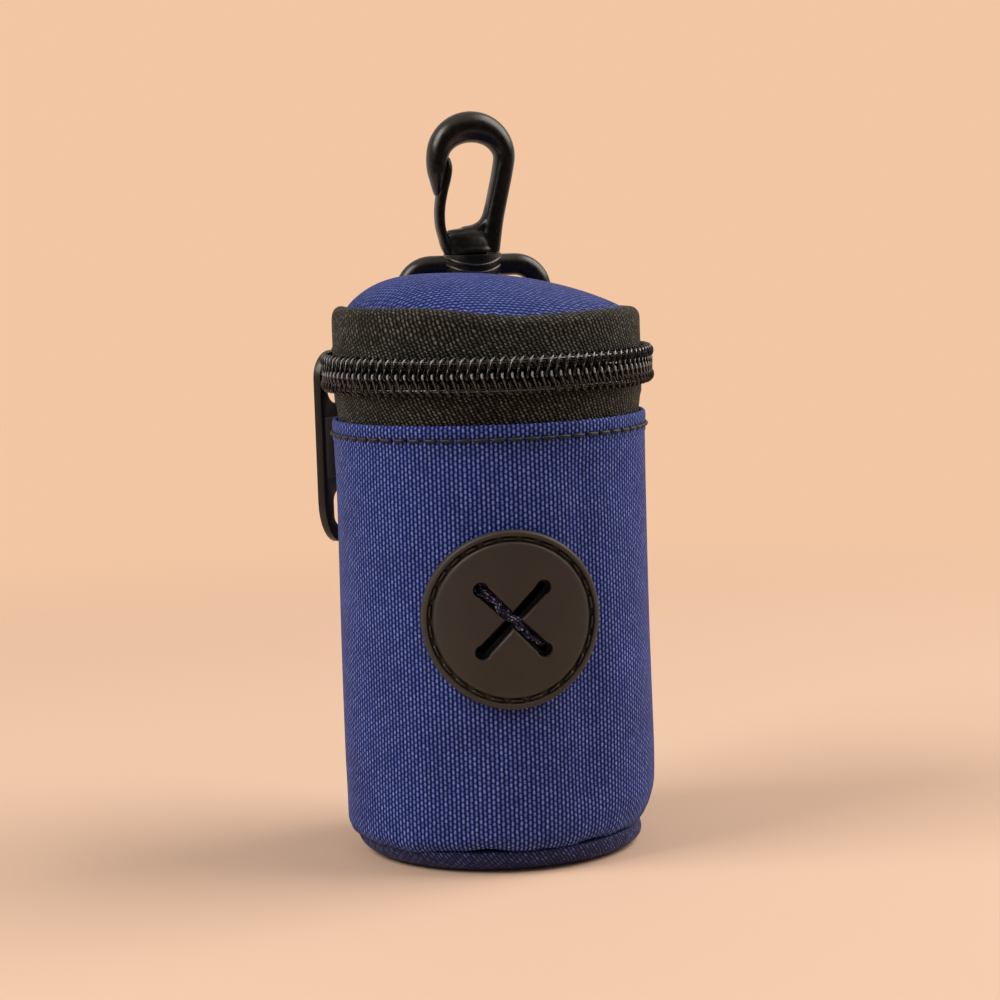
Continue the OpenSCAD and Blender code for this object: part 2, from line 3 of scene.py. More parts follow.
import json  # noqa: E402
import logging  # noqa: E402
import math  # noqa: E402
from collections.abc import Callable, Iterator, Sequence  # noqa: E402
from contextlib import contextmanager  # noqa: E402
from dataclasses import dataclass, replace  # noqa: E402
from enum import Enum  # noqa: E402
from typing import Any  # noqa: E402

import bmesh  # noqa: E402
import bpy  # noqa: E402
import numpy as np  # noqa: E402
from mathutils import Matrix, Vector  # noqa: E402


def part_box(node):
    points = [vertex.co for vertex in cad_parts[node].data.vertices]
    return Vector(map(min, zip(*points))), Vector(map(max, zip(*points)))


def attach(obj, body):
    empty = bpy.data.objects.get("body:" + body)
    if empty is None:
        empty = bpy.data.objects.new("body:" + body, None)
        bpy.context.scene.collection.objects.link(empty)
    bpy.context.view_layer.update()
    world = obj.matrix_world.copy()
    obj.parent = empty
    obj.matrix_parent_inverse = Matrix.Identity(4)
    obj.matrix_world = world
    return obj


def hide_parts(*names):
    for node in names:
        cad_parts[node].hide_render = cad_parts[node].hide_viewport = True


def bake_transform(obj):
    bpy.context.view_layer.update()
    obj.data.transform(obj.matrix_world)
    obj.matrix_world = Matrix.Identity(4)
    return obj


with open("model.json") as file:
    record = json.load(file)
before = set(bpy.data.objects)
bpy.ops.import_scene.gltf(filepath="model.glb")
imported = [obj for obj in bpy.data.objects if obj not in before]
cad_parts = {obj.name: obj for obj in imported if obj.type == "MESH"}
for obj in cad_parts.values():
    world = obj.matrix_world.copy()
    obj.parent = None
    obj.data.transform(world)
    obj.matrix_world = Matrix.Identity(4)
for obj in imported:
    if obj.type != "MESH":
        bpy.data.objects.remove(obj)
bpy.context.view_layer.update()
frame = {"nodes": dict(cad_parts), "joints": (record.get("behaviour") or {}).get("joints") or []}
log = logging.getLogger("pouch")

MM = 0.001
UNROLL = 24.5  # radius in millimetres at which cloth maps are laid out
ASKEW = (0.31, 0.17, 0.93)  # a direction that no bar starts along

Piece = bpy.types.Object
Material = bpy.types.Material
Node = bpy.types.Node
Socket = bpy.types.NodeSocket
Tree = bpy.types.NodeTree
Finishes = dict[str, Material]
Faces = list[list[int]]
Corner = tuple[float, float]
Pair = tuple[np.ndarray, np.ndarray]
Shape = Callable[[np.ndarray, np.ndarray, np.ndarray], Pair]

# Kinds of node that the finishes use most, and a colour mix's sockets: its two colours and its result.
MATH = "ShaderNodeMath"
VECTOR = "ShaderNodeVectorMath"
NOISE = "ShaderNodeTexNoise"
RANGE = "ShaderNodeMapRange"
PARTS = "ShaderNodeSeparateXYZ"
PLACE = "ShaderNodeTexCoord"
MIX = "ShaderNodeMix"
LOW, HIGH, MIXED = 6, 7, 2


# ---------------------------------------------------------------- tools


def linear(code: str) -> tuple[float, float, float, float]:
    """Turn an sRGB hex colour into linear light.

    Args:
        code: Colour such as "#1f2a63".

    Returns:
        Red, green, blue and alpha in linear light.
    """
    parts = [int(code[i : i + 2], 16) / 255 for i in (1, 3, 5)]
    red, green, blue = (c / 12.92 if c <= 0.04045 else ((c + 0.055) / 1.055) ** 2.4 for c in parts)
    return red, green, blue, 1.0


def add(tree: Tree, kind: str, inputs: dict[Any, Any] | None = None, **settings: Any) -> Node:
    """Add a node with its settings and links.

    Args:
        tree: Tree the node goes into.
        kind: The node's type name.
        inputs: Input name or index to a value, a socket, or a node whose first output is used.
        **settings: Properties of the node.

    Returns:
        The new node.
    """
    made = tree.nodes.new(kind)
    for name, value in settings.items():
        setattr(made, name, value)
    for key, value in (inputs or {}).items():
        source = value.outputs[0] if isinstance(value, Node) else value
        if isinstance(source, Socket):
            tree.links.new(source, made.inputs[key])
        else:
            made.inputs[key].default_value = source
    return made


def mesh_object(name: str, points: np.ndarray, faces: Sequence[Sequence[int]]) -> Piece:
    """Make a smooth mesh object from points in millimetres.

    Args:
        name: Name of the piece.
        points: One row of x, y, z for each vertex.
        faces: Vertex numbers of each face, turning left as seen from outside.

    Returns:
        The new object, at the origin.
    """
    mesh = bpy.data.meshes.new(name)
    mesh.from_pydata((np.asarray(points, float) * MM).tolist(), [], [list(map(int, f)) for f in faces])
    mesh.shade_smooth()
    made = bpy.data.objects.new(name, mesh)
    bpy.context.scene.collection.objects.link(made)
    return made


def grid_object(
    name: str, points: np.ndarray, cloth: np.ndarray | None = None, closed: bool = False
) -> Piece:
    """Make a sheet of quads from a grid of points.

    Args:
        name: Name of the piece.
        points: Rows by columns by x, y, z, in millimetres.
        cloth: Rows by columns by u, v, in millimetres of cloth, with one more column when closed.
        closed: Whether the last column joins the first.

    Returns:
        The new object, its faces outwards when rows rise and columns run to the left.
    """
    rows, cols = points.shape[:2]
    spans = cols if closed else cols - 1
    row, col = np.meshgrid(np.arange(rows - 1), np.arange(spans), indexing="ij")
    after = (col + 1) % cols
    corners = [row * cols + col, row * cols + after, (row + 1) * cols + after, (row + 1) * cols + col]
    made = mesh_object(name, points.reshape(-1, 3), np.stack(corners, -1).reshape(-1, 4))
    if cloth is not None:
        loops = [cloth[row, col], cloth[row, col + 1], cloth[row + 1, col + 1], cloth[row + 1, col]]
        layer = made.data.uv_layers.new(name="Cloth")
        layer.data.foreach_set("uv", np.stack(loops, -2).reshape(-1).astype(np.float32))
    return made


@contextmanager
def editing(piece: Piece) -> Iterator[bmesh.types.BMesh]:
    """Open a piece's mesh for changes, and write them back at the end.

    Args:
        piece: Mesh object.

    Yields:
        The open mesh.
    """
    held = bmesh.new()
    held.from_mesh(piece.data)
    yield held
    held.to_mesh(piece.data)
    held.free()


def discard(piece: Piece) -> None:
    """Delete a helper object and its mesh.

    Args:
        piece: Mesh object that nothing else needs.
    """
    mesh = piece.data
    bpy.data.objects.remove(piece)
    bpy.data.meshes.remove(mesh)


def bake(piece: Piece) -> Piece:
    """Turn a piece's live modifiers into its plain mesh.

    Args:
        piece: Object with modifiers.

    Returns:
        The same object.
    """
    bpy.context.view_layer.update()
    graph = bpy.context.evaluated_depsgraph_get()
    live = piece.evaluated_get(graph)
    mesh = bpy.data.meshes.new_from_object(live, preserve_all_data_layers=True, depsgraph=graph)
    piece.modifiers.clear()
    old, piece.data = piece.data, mesh
    name = old.name
    bpy.data.meshes.remove(old)
    mesh.name = name
    return piece


def thicken(piece: Piece, depth: float) -> Piece:
    """Give a sheet a wall, inwards from its outer face.

    Args:
        piece: Open sheet.
        depth: Thickness in millimetres.

    Returns:
        The same object, closed.
    """
    wall = piece.modifiers.new("wall", "SOLIDIFY")
    wall.thickness = depth * MM
    wall.offset = -1
    return bake(piece)


def crease(piece: Piece, degrees: float) -> None:
    """Shade a piece smooth, apart from edges sharper than an angle.

    Args:
        piece: Mesh object.
        degrees: Smallest angle that stays sharp.
    """
    piece.data.shade_smooth()
    piece.data.set_sharp_from_angle(angle=math.radians(degrees))


def settle(piece: Piece, finish: Material, slot: str, *nodes: str, body: str = "") -> Piece:
    """Dress a piece, hide the frame nodes that it replaces, and set it on its body.

    Args:
        piece: Finished mesh object.
        finish: Its material.
        slot: The record's material slot; not used.
        *nodes: Frame nodes that it replaces.
        body: Body that it rides on, or nothing, which leaves it unattached.

    Returns:
        The same object.
    """
    piece.data.materials.clear()
    piece.data.materials.append(finish)
    if nodes:
        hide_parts(*nodes)
    if body:
        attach(piece, body)
    log.info("%s: %d faces on %s", piece.name, len(piece.data.polygons), body or "two bodies")
    return piece


def headings(points: np.ndarray) -> np.ndarray:
    """Give the direction of travel at each point of a line."""
    along = np.gradient(points, axis=0)
    return along / np.linalg.norm(along, axis=1)[:, None]


def run_length(points: np.ndarray) -> np.ndarray:
    """Give the distance travelled along a line at each of its points."""
    return np.concatenate([[0], np.cumsum(np.linalg.norm(np.diff(points, axis=0), axis=1))])


def sleeve(rings: int, sides: int, inward: bool = False) -> Faces:
    """Number the faces of a closed bar: quads between its rings of vertices, then a cap at each end.

    Args:
        rings: Number of rings along the bar.
        sides: Vertices in a ring.
        inward: Whether the rings turn the other way, so that the faces have to as well.

    Returns:
        Vertex numbers of each face.
    """
    quads = []
    for first in range(0, (rings - 1) * sides, sides):
        for k in range(sides):
            here, after = first + k, first + (k + 1) % sides
            quads.append([here, after, after + sides, here + sides])
    last = (rings - 1) * sides
    start, end = list(range(sides)), list(range(last, last + sides))
    if inward:
        return [[a, d, c, b] for a, b, c, d in quads] + [start, end[::-1]]
    return quads + [start[::-1], end]


def tube(points: np.ndarray, radii: Sequence[float], sides: int) -> tuple[np.ndarray, Faces]:
    """Sweep a round section along points, with closed ends.

    Args:
        points: Points of the centre line, in millimetres.
        radii: Radius at each point.
        sides: Corners of the section.

    Returns:
        Vertices and faces.
    """
    along = headings(points)
    side = np.cross(along[0], ASKEW)
    turn = np.linspace(0, 2 * math.pi, sides, endpoint=False)[:, None]
    rings = []
    for point, heading, radius in zip(points, along, radii):
        side = side - heading * (side @ heading)
        side /= np.linalg.norm(side)
        over = np.cross(heading, side)
        rings.append(point + radius * (np.cos(turn) * side + np.sin(turn) * over))
    return np.concatenate(rings), sleeve(len(points), sides)


def ripple(across: np.ndarray, up: np.ndarray, waves: Sequence[tuple[float, ...]]) -> np.ndarray:
    """Add up slow waves that make cloth look handled.

    Args:
        across: Angle round the piece in radians.
        up: Height in millimetres.
        waves: Height in millimetres, turns round the piece, turns per millimetre up and phase of each wave.

    Returns:
        Offset in millimetres.
    """
    total = 0.0
    for high, around, rise, phase in waves:
        total = total + high * np.sin(around * across + 2 * math.pi * rise * up + phase)
    return total


def step(value: np.ndarray, low: float, high: float) -> np.ndarray:
    """Rise smoothly from 0 to 1 between two values."""
    share = np.clip((value - low) / (high - low), 0, 1)
    return share * share * (3 - 2 * share)


def bell(value: np.ndarray, width: float) -> np.ndarray:
    """Give 1 at 0, falling away to nothing within a few widths on both sides."""
    return np.exp(-((value / width) ** 2))


def bearing(turn: np.ndarray, middle: float) -> np.ndarray:
    """Give how far angles in radians lie past a middle in degrees, between -180 and 180 degrees."""
    return (np.degrees(turn) - middle + 180) % 360 - 180


def arc(centre: Corner, radius: float, angles: np.ndarray) -> list[Corner]:
    """Give the points of a round stretch of outline, at angles in radians."""
    return [(centre[0] + radius * math.cos(a), centre[1] + radius * math.sin(a)) for a in angles]


def round_to_xyz(radius: np.ndarray, turn: np.ndarray, height: np.ndarray) -> np.ndarray:
    """Turn radius, angle in radians and height into points."""
    return np.stack([radius * np.cos(turn), radius * np.sin(turn), height], -1)


# ---------------------------------------------------------------- finishes


def new_material(name: str) -> tuple[Material, Tree, Node]:
    """Start a material.

    Args:
        name: What the real one is and how its surface was made.

    Returns:
        The material, its tree and its surface node.
    """
    made = bpy.data.materials.new(name)
    made.use_nodes = True
    return made, made.node_tree, made.node_tree.nodes["Principled BSDF"]


class Lay(Enum):
    """How a cloth pattern is laid on its piece."""

    CUT = "by the piece's own cloth map"
    AROUND = "round the upright axis"
    FLAT = "level"


@dataclass(frozen=True)
class WovenCloth:
    """Woven polyester: raised floats over sunken yarn, each float a rounded lozenge. Between the floats the
    gap colour stands for the sunken yarn darkened by painted shade, and a lighter colour painted down each
    float's crown is a painted highlight.

    Its lengths are in millimetres: float_wide and float_tall space the floats, lift is their height, drift is
    how far they wander, and patch_scale is the size of the paler and darker patches. A float narrows faster
    with a bigger lozenge, which is across and along it.
    """

    name: str
    warp: str
    gap: str
    crown_highlight: str
    float_wide: float
    float_tall: float
    lift: float = 0.09
    rough: float = 0.62
    sheen: float = 0.12
    shine: float = 0.2
    uneven: float = 0.35
    slant: float = 0.0
    stagger: float = 0.5
    lay: Lay = Lay.CUT
    drift: float = 0.1
    patch_scale: float = 9.0
    patch_depth: float = 0.25
    lozenge: tuple[float, float, float] = (2.7, 1.85, 0.0)

    def threads(self, tree: Tree) -> Socket:
        """Give the place on the cloth, in millimetres.

        Args:
            tree: The material's tree.

        Returns:
            A vector socket with millimetres across and along the cloth.
        """
        place = add(tree, PLACE)
        if self.lay is Lay.CUT:
            return place.outputs["UV"]
        here = add(tree, VECTOR, {0: place.outputs["Object"], "Scale": 1 / MM}, operation="SCALE")
        if self.lay is Lay.FLAT:
            return here.outputs[0]
        parts = add(tree, PARTS, {0: here})
        turn = add(tree, MATH, {0: parts.outputs["Y"], 1: parts.outputs["X"]}, operation="ARCTAN2")
        around = add(tree, MATH, {0: turn, 1: UNROLL}, operation="MULTIPLY")
        return add(tree, "ShaderNodeCombineXYZ", {"X": around, "Y": parts.outputs["Z"]}).outputs[0]

    def floats(self, tree: Tree, here: Socket) -> tuple[Node, Socket]:
        """Draw the floats in staggered columns.

        Args:
            tree: The material's tree.
            here: Place on the cloth, in millimetres.

        Returns:
            A node that is 1 on a float's crown and 0 between floats, and each float's own chance from 0 to 1.
        """
        wander = add(tree, NOISE, {"Vector": here, "Scale": 0.8, "Detail": 2.0}, noise_dimensions="2D")
        wide = (self.drift, self.drift, 0.0)
        moved = add(tree, VECTOR, {0: wander.outputs["Color"], 1: wide, 2: here}, operation="MULTIPLY_ADD")
        place = add(tree, PARTS, {0: moved})
        x, y = place.outputs["X"], place.outputs["Y"]
        sway = add(tree, MATH, {0: y, 1: self.slant, 2: x}, operation="MULTIPLY_ADD")
        across = add(tree, MATH, {0: sway, 1: self.float_wide}, operation="DIVIDE")
        column = add(tree, MATH, {0: across}, operation="FLOOR")
        shift = add(tree, MATH, {0: column, 1: self.stagger}, operation="MULTIPLY")
        along = add(tree, MATH, {0: y, 1: 1 / self.float_tall, 2: shift}, operation="MULTIPLY_ADD")
        row = add(tree, MATH, {0: along}, operation="FLOOR")
        thread = add(tree, "ShaderNodeCombineXYZ", {"X": column, "Y": row})
        chance = add(tree, "ShaderNodeTexWhiteNoise", {"Vector": thread}, noise_dimensions="2D")
        side, end = (
            add(tree, MATH, {0: add(tree, MATH, {0: way}, operation="FRACT"), 1: 0.5}, operation="SUBTRACT")
            for way in (across, along)
        )
        middle = add(tree, "ShaderNodeCombineXYZ", {"X": side, "Y": end})
        stretched = add(tree, VECTOR, {0: middle, 1: self.lozenge}, operation="MULTIPLY")
        reach = add(tree, VECTOR, {0: stretched}, operation="LENGTH").outputs["Value"]
        edge = {0: reach, 1: 0.35, 2: 1.3, 3: 1.0, 4: 0.0}
        return add(tree, RANGE, edge, interpolation_type="SMOOTHSTEP"), chance.outputs["Value"]

    def material(self) -> Material:
        """Build the cloth's material.

        Returns:
            The material.
        """
        made, tree, bsdf = new_material(self.name)
        here = self.threads(tree)
        crown, chance = self.floats(tree, here)
        fibre = add(tree, NOISE, {"Vector": here, "Scale": 5.5, "Detail": 2.0}, noise_dimensions="2D")
        patches = {"Vector": here, "Scale": 1 / self.patch_scale, "Detail": 2.0}
        slow = add(tree, NOISE, patches, noise_dimensions="2D")
        luck = add(tree, MATH, {0: chance, 1: self.uneven, 2: 1 - self.uneven}, operation="MULTIPLY_ADD")
        bright = add(tree, MATH, {0: crown, 1: luck}, operation="MULTIPLY")
        # Floats fade into the gap colour: the sunken yarn, darkened as painted shade between the floats.
        shades = {"Factor": bright, LOW: linear(self.gap), HIGH: linear(self.warp)}
        base = add(tree, MIX, shades, data_type="RGBA").outputs[MIXED]
        # A lighter colour painted along each float's crown: a painted highlight, broken up by the fibres.
        sharp = add(tree, MATH, {0: bright, 1: 3.0}, operation="POWER")
        strand = add(tree, RANGE, {0: fibre, 1: 0.35, 2: 0.65, 3: 0.3, 4: 0.9})
        glint = add(tree, MATH, {0: sharp, 1: strand}, operation="MULTIPLY")
        crown_highlight_mix = {"Factor": glint, LOW: base, HIGH: linear(self.crown_highlight)}
        lit = add(tree, MIX, crown_highlight_mix, data_type="RGBA").outputs[MIXED]
        shade = add(tree, RANGE, {0: slow, 1: 0.3, 2: 0.7, 3: 1 - self.patch_depth, 4: 1.0})
        dim = add(tree, VECTOR, {0: lit, "Scale": shade}, operation="SCALE")
        tree.links.new(dim.outputs[0], bsdf.inputs["Base Color"])
        high = add(tree, MATH, {0: fibre, 1: 0.18, 2: crown}, operation="MULTIPLY_ADD")
        bump = add(tree, "ShaderNodeBump", {"Strength": 1.0, "Distance": self.lift * MM, "Height": high})
        tree.links.new(bump.outputs[0], bsdf.inputs["Normal"])
        bsdf.inputs["Roughness"].default_value = self.rough
        bsdf.inputs["Sheen Weight"].default_value = self.sheen
        bsdf.inputs["Sheen Roughness"].default_value = 0.45
        bsdf.inputs["Specular IOR Level"].default_value = self.shine
        bsdf.inputs["Sheen Tint"].default_value = linear(self.crown_highlight)
        return made


@dataclass(frozen=True)
class Moulded:
    """Solid finish out of a mould, a bath or a die: one colour with faint mottling and a fine grain.

    Its lengths are in millimetres: grain and mottle_scale are the sizes of the two patterns, and depth is how
    deep the grain goes.
    """

    name: str
    colour: str
    mottle: str
    rough: float
    grain: float = 0.25
    depth: float = 0.01
    mottle_scale: float = 5.0
    shine: float = 0.5

    def material(self) -> Material:
        """Build the finish's material.

        Returns:
            The material.
        """
        made, tree, bsdf = new_material(self.name)
        place = add(tree, PLACE)
        here = add(tree, VECTOR, {0: place.outputs["Object"], "Scale": 1 / MM}, operation="SCALE")
        slow = add(tree, NOISE, {"Vector": here, "Scale": 1 / self.mottle_scale, "Detail": 3.0})
        share = add(tree, RANGE, {0: slow, 1: 0.35, 2: 0.65})
        shades = {"Factor": share, LOW: linear(self.colour), HIGH: linear(self.mottle)}
        mottled = add(tree, MIX, shades, data_type="RGBA").outputs[MIXED]
        tree.links.new(mottled, bsdf.inputs["Base Color"])
        fine = add(tree, NOISE, {"Vector": here, "Scale": 1 / self.grain, "Detail": 2.0})
        wear = add(tree, RANGE, {0: fine, 1: 0.3, 2: 0.7, 3: self.rough - 0.05, 4: self.rough + 0.07})
        tree.links.new(wear.outputs[0], bsdf.inputs["Roughness"])
        bump = add(tree, "ShaderNodeBump", {"Strength": 1.0, "Distance": self.depth * MM, "Height": fine})
        tree.links.new(bump.outputs[0], bsdf.inputs["Normal"])
        bsdf.inputs["Specular IOR Level"].default_value = self.shine
        return made


@dataclass(frozen=True)
class HighlightPaintedFilament(Moulded):
    """Drawn filament, near black, with a light grey colour painted on its bends and heads as highlights.

    Each of its painted highlight bands has a height above level, which is the chain's middle, a reach up and
    down, and a share of the highlight colour. The painted highlights start at the radius called front, so
    only the outward face has them. All these lengths are in millimetres.
    """

    bend_highlight: str = "#9aa0a8"
    level: float = 77.5
    front: float = 26.2
    bends: tuple[tuple[float, float, float], ...] = ()

    def material(self) -> Material:
        """Build the plain finish, then mix the painted highlight bands into its colour.

        Returns:
            The material.
        """
        made = super().material()
        tree = made.node_tree
        bsdf = tree.nodes["Principled BSDF"]
        plain = bsdf.inputs["Base Color"].links[0].from_socket
        place = add(tree, PLACE).outputs["Object"]
        parts = add(tree, PARTS, {0: place})
        total = None
        for middle, reach, share in self.bends:
            height = (self.level + middle) * MM
            gap = add(tree, MATH, {0: parts.outputs["Z"], 1: height}, operation="SUBTRACT")
            away = add(tree, MATH, {0: gap}, operation="ABSOLUTE")
            fade = {0: away, 1: reach * 0.4 * MM, 2: reach * MM, 3: share, 4: 0.0}
            band = add(tree, RANGE, fade, interpolation_type="SMOOTHSTEP")
            total = band if total is None else add(tree, MATH, {0: total, 1: band}, operation="MAXIMUM")
        flat = add(tree, VECTOR, {0: place, 1: (1.0, 1.0, 0.0)}, operation="MULTIPLY")
        out = add(tree, VECTOR, {0: flat}, operation="LENGTH").outputs["Value"]
        outer = add(tree, RANGE, {0: out, 1: self.front * MM, 2: (self.front + 0.3) * MM})
        share = add(tree, MATH, {0: total, 1: outer}, operation="MULTIPLY")
        # Light grey bands at set heights on the outward face: painted highlights on the bends and heads.
        bend_highlight_mix = {"Factor": share, LOW: plain, HIGH: linear(self.bend_highlight)}
        mixed = add(tree, MIX, bend_highlight_mix, data_type="RGBA").outputs[MIXED]
        tree.links.new(mixed, bsdf.inputs["Base Color"])
        return made


# Woven Oxford with a coated back: plump navy floats, with painted shade between them
# and a light painted highlight down each crown.
OXFORD = WovenCloth(
    "coated_oxford_polyester", warp="#2f4fb0", gap="#030d40", crown_highlight="#93a2e2",
    float_wide=0.68, float_tall=0.86, sheen=0.04, shine=0.12, uneven=0.25, drift=0.2, patch_depth=0.12,
)
# The same cloth pulled over foam: its floats stand fuller, and its colours are a little darker as
# painted shade on the dome.
OXFORD_LID = replace(OXFORD, name="coated_oxford_polyester_lid", warp="#284499", crown_highlight="#7c8ac8", lift=0.1)
# Oxford cut on the bias: leaning rows, darker and duller than the body's cloth as painted shade where
# the cloth turns under.
OXFORD_BASE = WovenCloth(
    "coated_oxford_polyester_bias", warp="#2a3570", gap="#0a1138", crown_highlight="#7380c0",
    float_wide=0.6, float_tall=0.8, slant=0.6, uneven=0.6, drift=0.3,
)
# A raw cut edge of Oxford: tangled yarn over dark cloth with painted shade, flecked with nearly white
# painted highlights.
OXFORD_INSIDE = WovenCloth(
    "oxford_polyester_slot_edge", warp="#4a4690", gap="#0a0818", crown_highlight="#f6f4ff",
    float_wide=0.4, float_tall=0.55, uneven=0.9, drift=0.8,
)
# Plain-woven taffeta: a flat, dark grey face with hardly any relief. Its thread is drawn coarser, to show.
LINING = WovenCloth(
    "taffeta_lining", warp="#23252c", gap="#121317", crown_highlight="#40434d",
    float_wide=0.35, float_tall=0.45, lift=0.03, lay=Lay.AROUND,
)
LINING_FLAT = replace(LINING, name="taffeta_lining_flat", lay=Lay.FLAT)
# Knitted tape: deep, leaning warm grey ribs with light painted highlights on their crowns, over black
# with painted shade.
TAPE = WovenCloth(
    "knitted_zip_tape", warp="#42423c", gap="#060605", crown_highlight="#87877d",
    float_wide=0.74, float_tall=0.5, lift=0.24, sheen=0.04, shine=0.12, uneven=0.5, slant=0.5, drift=0.55,
    patch_scale=5.0, patch_depth=0.3,
)
# Narrow woven binding: a dull, brownish black edge.
BINDING = WovenCloth(
    "binding_tape", warp="#2a2724", gap="#0c0b0a", crown_highlight="#4d4842",
    float_wide=0.5, float_tall=0.6, uneven=0.5, lay=Lay.AROUND,
)
# Ribbed polyester webbing: broad, high ribs, black with painted shade between them, their crowns lighter
# with painted highlights.
WEBBING = WovenCloth(
    "ribbed_webbing", warp="#23211f", gap="#080807", crown_highlight="#57534d",
    float_wide=1.1, float_tall=0.75, uneven=0.3, lift=0.16,
)
# Moulded rubber: matt, warm dark brown with soft, wide highlights.
RUBBER = Moulded(
    "moulded_rubber", "#34302b", "#302c28", 0.5, grain=0.18, depth=0.006, mottle_scale=8.0, shine=0.35
)
# Drawn polyester filament: near black and glossy, with grey painted highlights on the outward face of its
# bends and heads.
UPPER_COIL = HighlightPaintedFilament(
    "drawn_polyester_filament", "#060606", "#0b0b0a", 0.26, grain=0.3, depth=0.004, shine=0.8,
    bends=((2.4, 0.6, 1.0), (1.3, 0.6, 0.06)),
)
LOWER_COIL = replace(
    UPPER_COIL,
    name="drawn_polyester_filament_headed",
    bends=((0.05, 0.5, 0.9), (-1.2, 0.9, 0.05), (-2.3, 0.7, 0.07)),
)
# Bonded sewing thread: matt and fuzzy, near black, then in navy and in olive.
THREAD = Moulded("bonded_polyester_thread", "#0b0a09", "#171412", 0.55, grain=0.12, depth=0.02)
NAVY_THREAD = replace(THREAD, name="navy_polyester_thread", colour="#080a10", mottle="#101318")
OLIVE_THREAD = replace(THREAD, name="olive_polyester_thread", colour="#0c0a06", mottle="#2a2416")
# Baked enamel on a zinc casting: smooth black with a satin gloss, tinted warm brown as a painted
# reflection of the warm room.
ENAMEL = Moulded("baked_black_enamel", "#17100c", "#1c130e", 0.36, grain=0.35, depth=0.004, shine=0.5)
# Moulded acetal: deep black and waxy, with clear, slightly soft highlights.
ACETAL = Moulded("moulded_acetal", "#050403", "#080605", 0.3, grain=0.9, depth=0.0012, shine=0.5)
# Open-cell foam: charcoal grey, dull and pitted.
FOAM = Moulded("open_cell_foam", "#1d1e22", "#26272b", 0.9, grain=0.5, depth=0.25, mottle_scale=3.0)
# Extruded polypropylene sheet: flat dark grey with a faint sheen.
BOARD = Moulded("polypropylene_sheet", "#33343a", "#2c2d32", 0.55)
# Blown polythene film, wound tight: dark blue grey, slick and slightly wrinkled.
FILM = Moulded("blown_polythene_film", "#20242b", "#2b3039", 0.32, grain=0.9, depth=0.05, mottle_scale=7.0)
# Wound card: plain brown and quite matt.
CARD = Moulded("wound_card", "#a98a63", "#957650", 0.85, grain=0.4, depth=0.05)

FINISHES = {
    "oxford": OXFORD,
    "oxford_lid": OXFORD_LID,
    "oxford_base": OXFORD_BASE,
    "oxford_inside": OXFORD_INSIDE,
    "lining": LINING,
    "lining_flat": LINING_FLAT,
    "tape": TAPE,
    "binding": BINDING,
    "webbing": WEBBING,
    "rubber": RUBBER,
    "upper_coil": UPPER_COIL,
    "lower_coil": LOWER_COIL,
    "tape_thread": THREAD,
    "enamel": ENAMEL,
    "acetal": ACETAL,
    "foam": FOAM,
    "board": BOARD,
    "film": FILM,
    "card": CARD,
    "navy_thread": NAVY_THREAD,
    "olive_thread": OLIVE_THREAD,
}


# ---------------------------------------------------------------- sizes


def ends(node: str) -> np.ndarray:
    """Read a frame node's lowest and highest corners, in millimetres."""
    return np.array([list(end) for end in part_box(node)]) / MM


@dataclass(frozen=True)
class Sizes:
    """Lengths in millimetres that the pieces share, read off the frame wherever it holds them."""

    pouch_r: float
    hem_top: float
    patch_z: float
    patch_r: float
    patch_back: float
    patch_face: float
    zip_z: float
    tape_r: float
    coil_in: float
    coil_out: float
    coil_half: float
    lid_z: float
    lid_r: float
    lid_top: float
    pan_r: float
    pan_top: float
    foot_r: float = 19.5
    cloth: float = 0.6
    hem_high: float = 3.4
    seam_drop: float = 2.25
    tuck: float = 0.8
    zip_from: float = 130.0
    zip_to: float = 410.0
    seam_r: float = 20.6

    @classmethod
    def read(cls) -> "Sizes":
        """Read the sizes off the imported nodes.

        Returns:
            The sizes.
        """
        hem_proud, patch_deep, coil_deep = 0.2, 1.5, 1.95
        shell, patch, pan = ends("body_shell"), ends("slot_patch"), ends("base_panel")
        coil, other = ends("lower_coil"), ends("upper_coil")
        tape, dome = ends("upper_tape"), ends("lid_panel")
        middle = (coil[0, 2] + other[1, 2]) / 2
        return cls(
            pouch_r=round(shell[1, 0] - hem_proud, 2),
            hem_top=shell[1, 2],
            patch_z=(patch[0, 2] + patch[1, 2]) / 2,
            patch_r=(patch[1, 2] - patch[0, 2]) / 2,
            patch_back=-patch[0, 1] - patch_deep,
            patch_face=-patch[0, 1],
            zip_z=middle,
            tape_r=tape[1, 0],
            coil_in=-coil[0, 1] - coil_deep,
            coil_out=-coil[0, 1],
            coil_half=middle - coil[0, 2],
            lid_z=dome[0, 2],
            lid_r=dome[1, 0],
            lid_top=dome[1, 2],
            pan_r=pan[1, 0],
            pan_top=pan[1, 2],
        )


S = Sizes.read()


def lid_rise(turn: np.ndarray) -> np.ndarray:
    """Give how far the lid's seam rides up, in millimetres: it was sewn high on the left and dips in front.

    Args:
        turn: Angle in radians.

    Returns:
        Height above the seam's level.
    """
    return 1.6 * (1 - step(np.abs(bearing(turn, 205)), 30, 76)) + 0.35 * bell(bearing(turn, 320), 30)


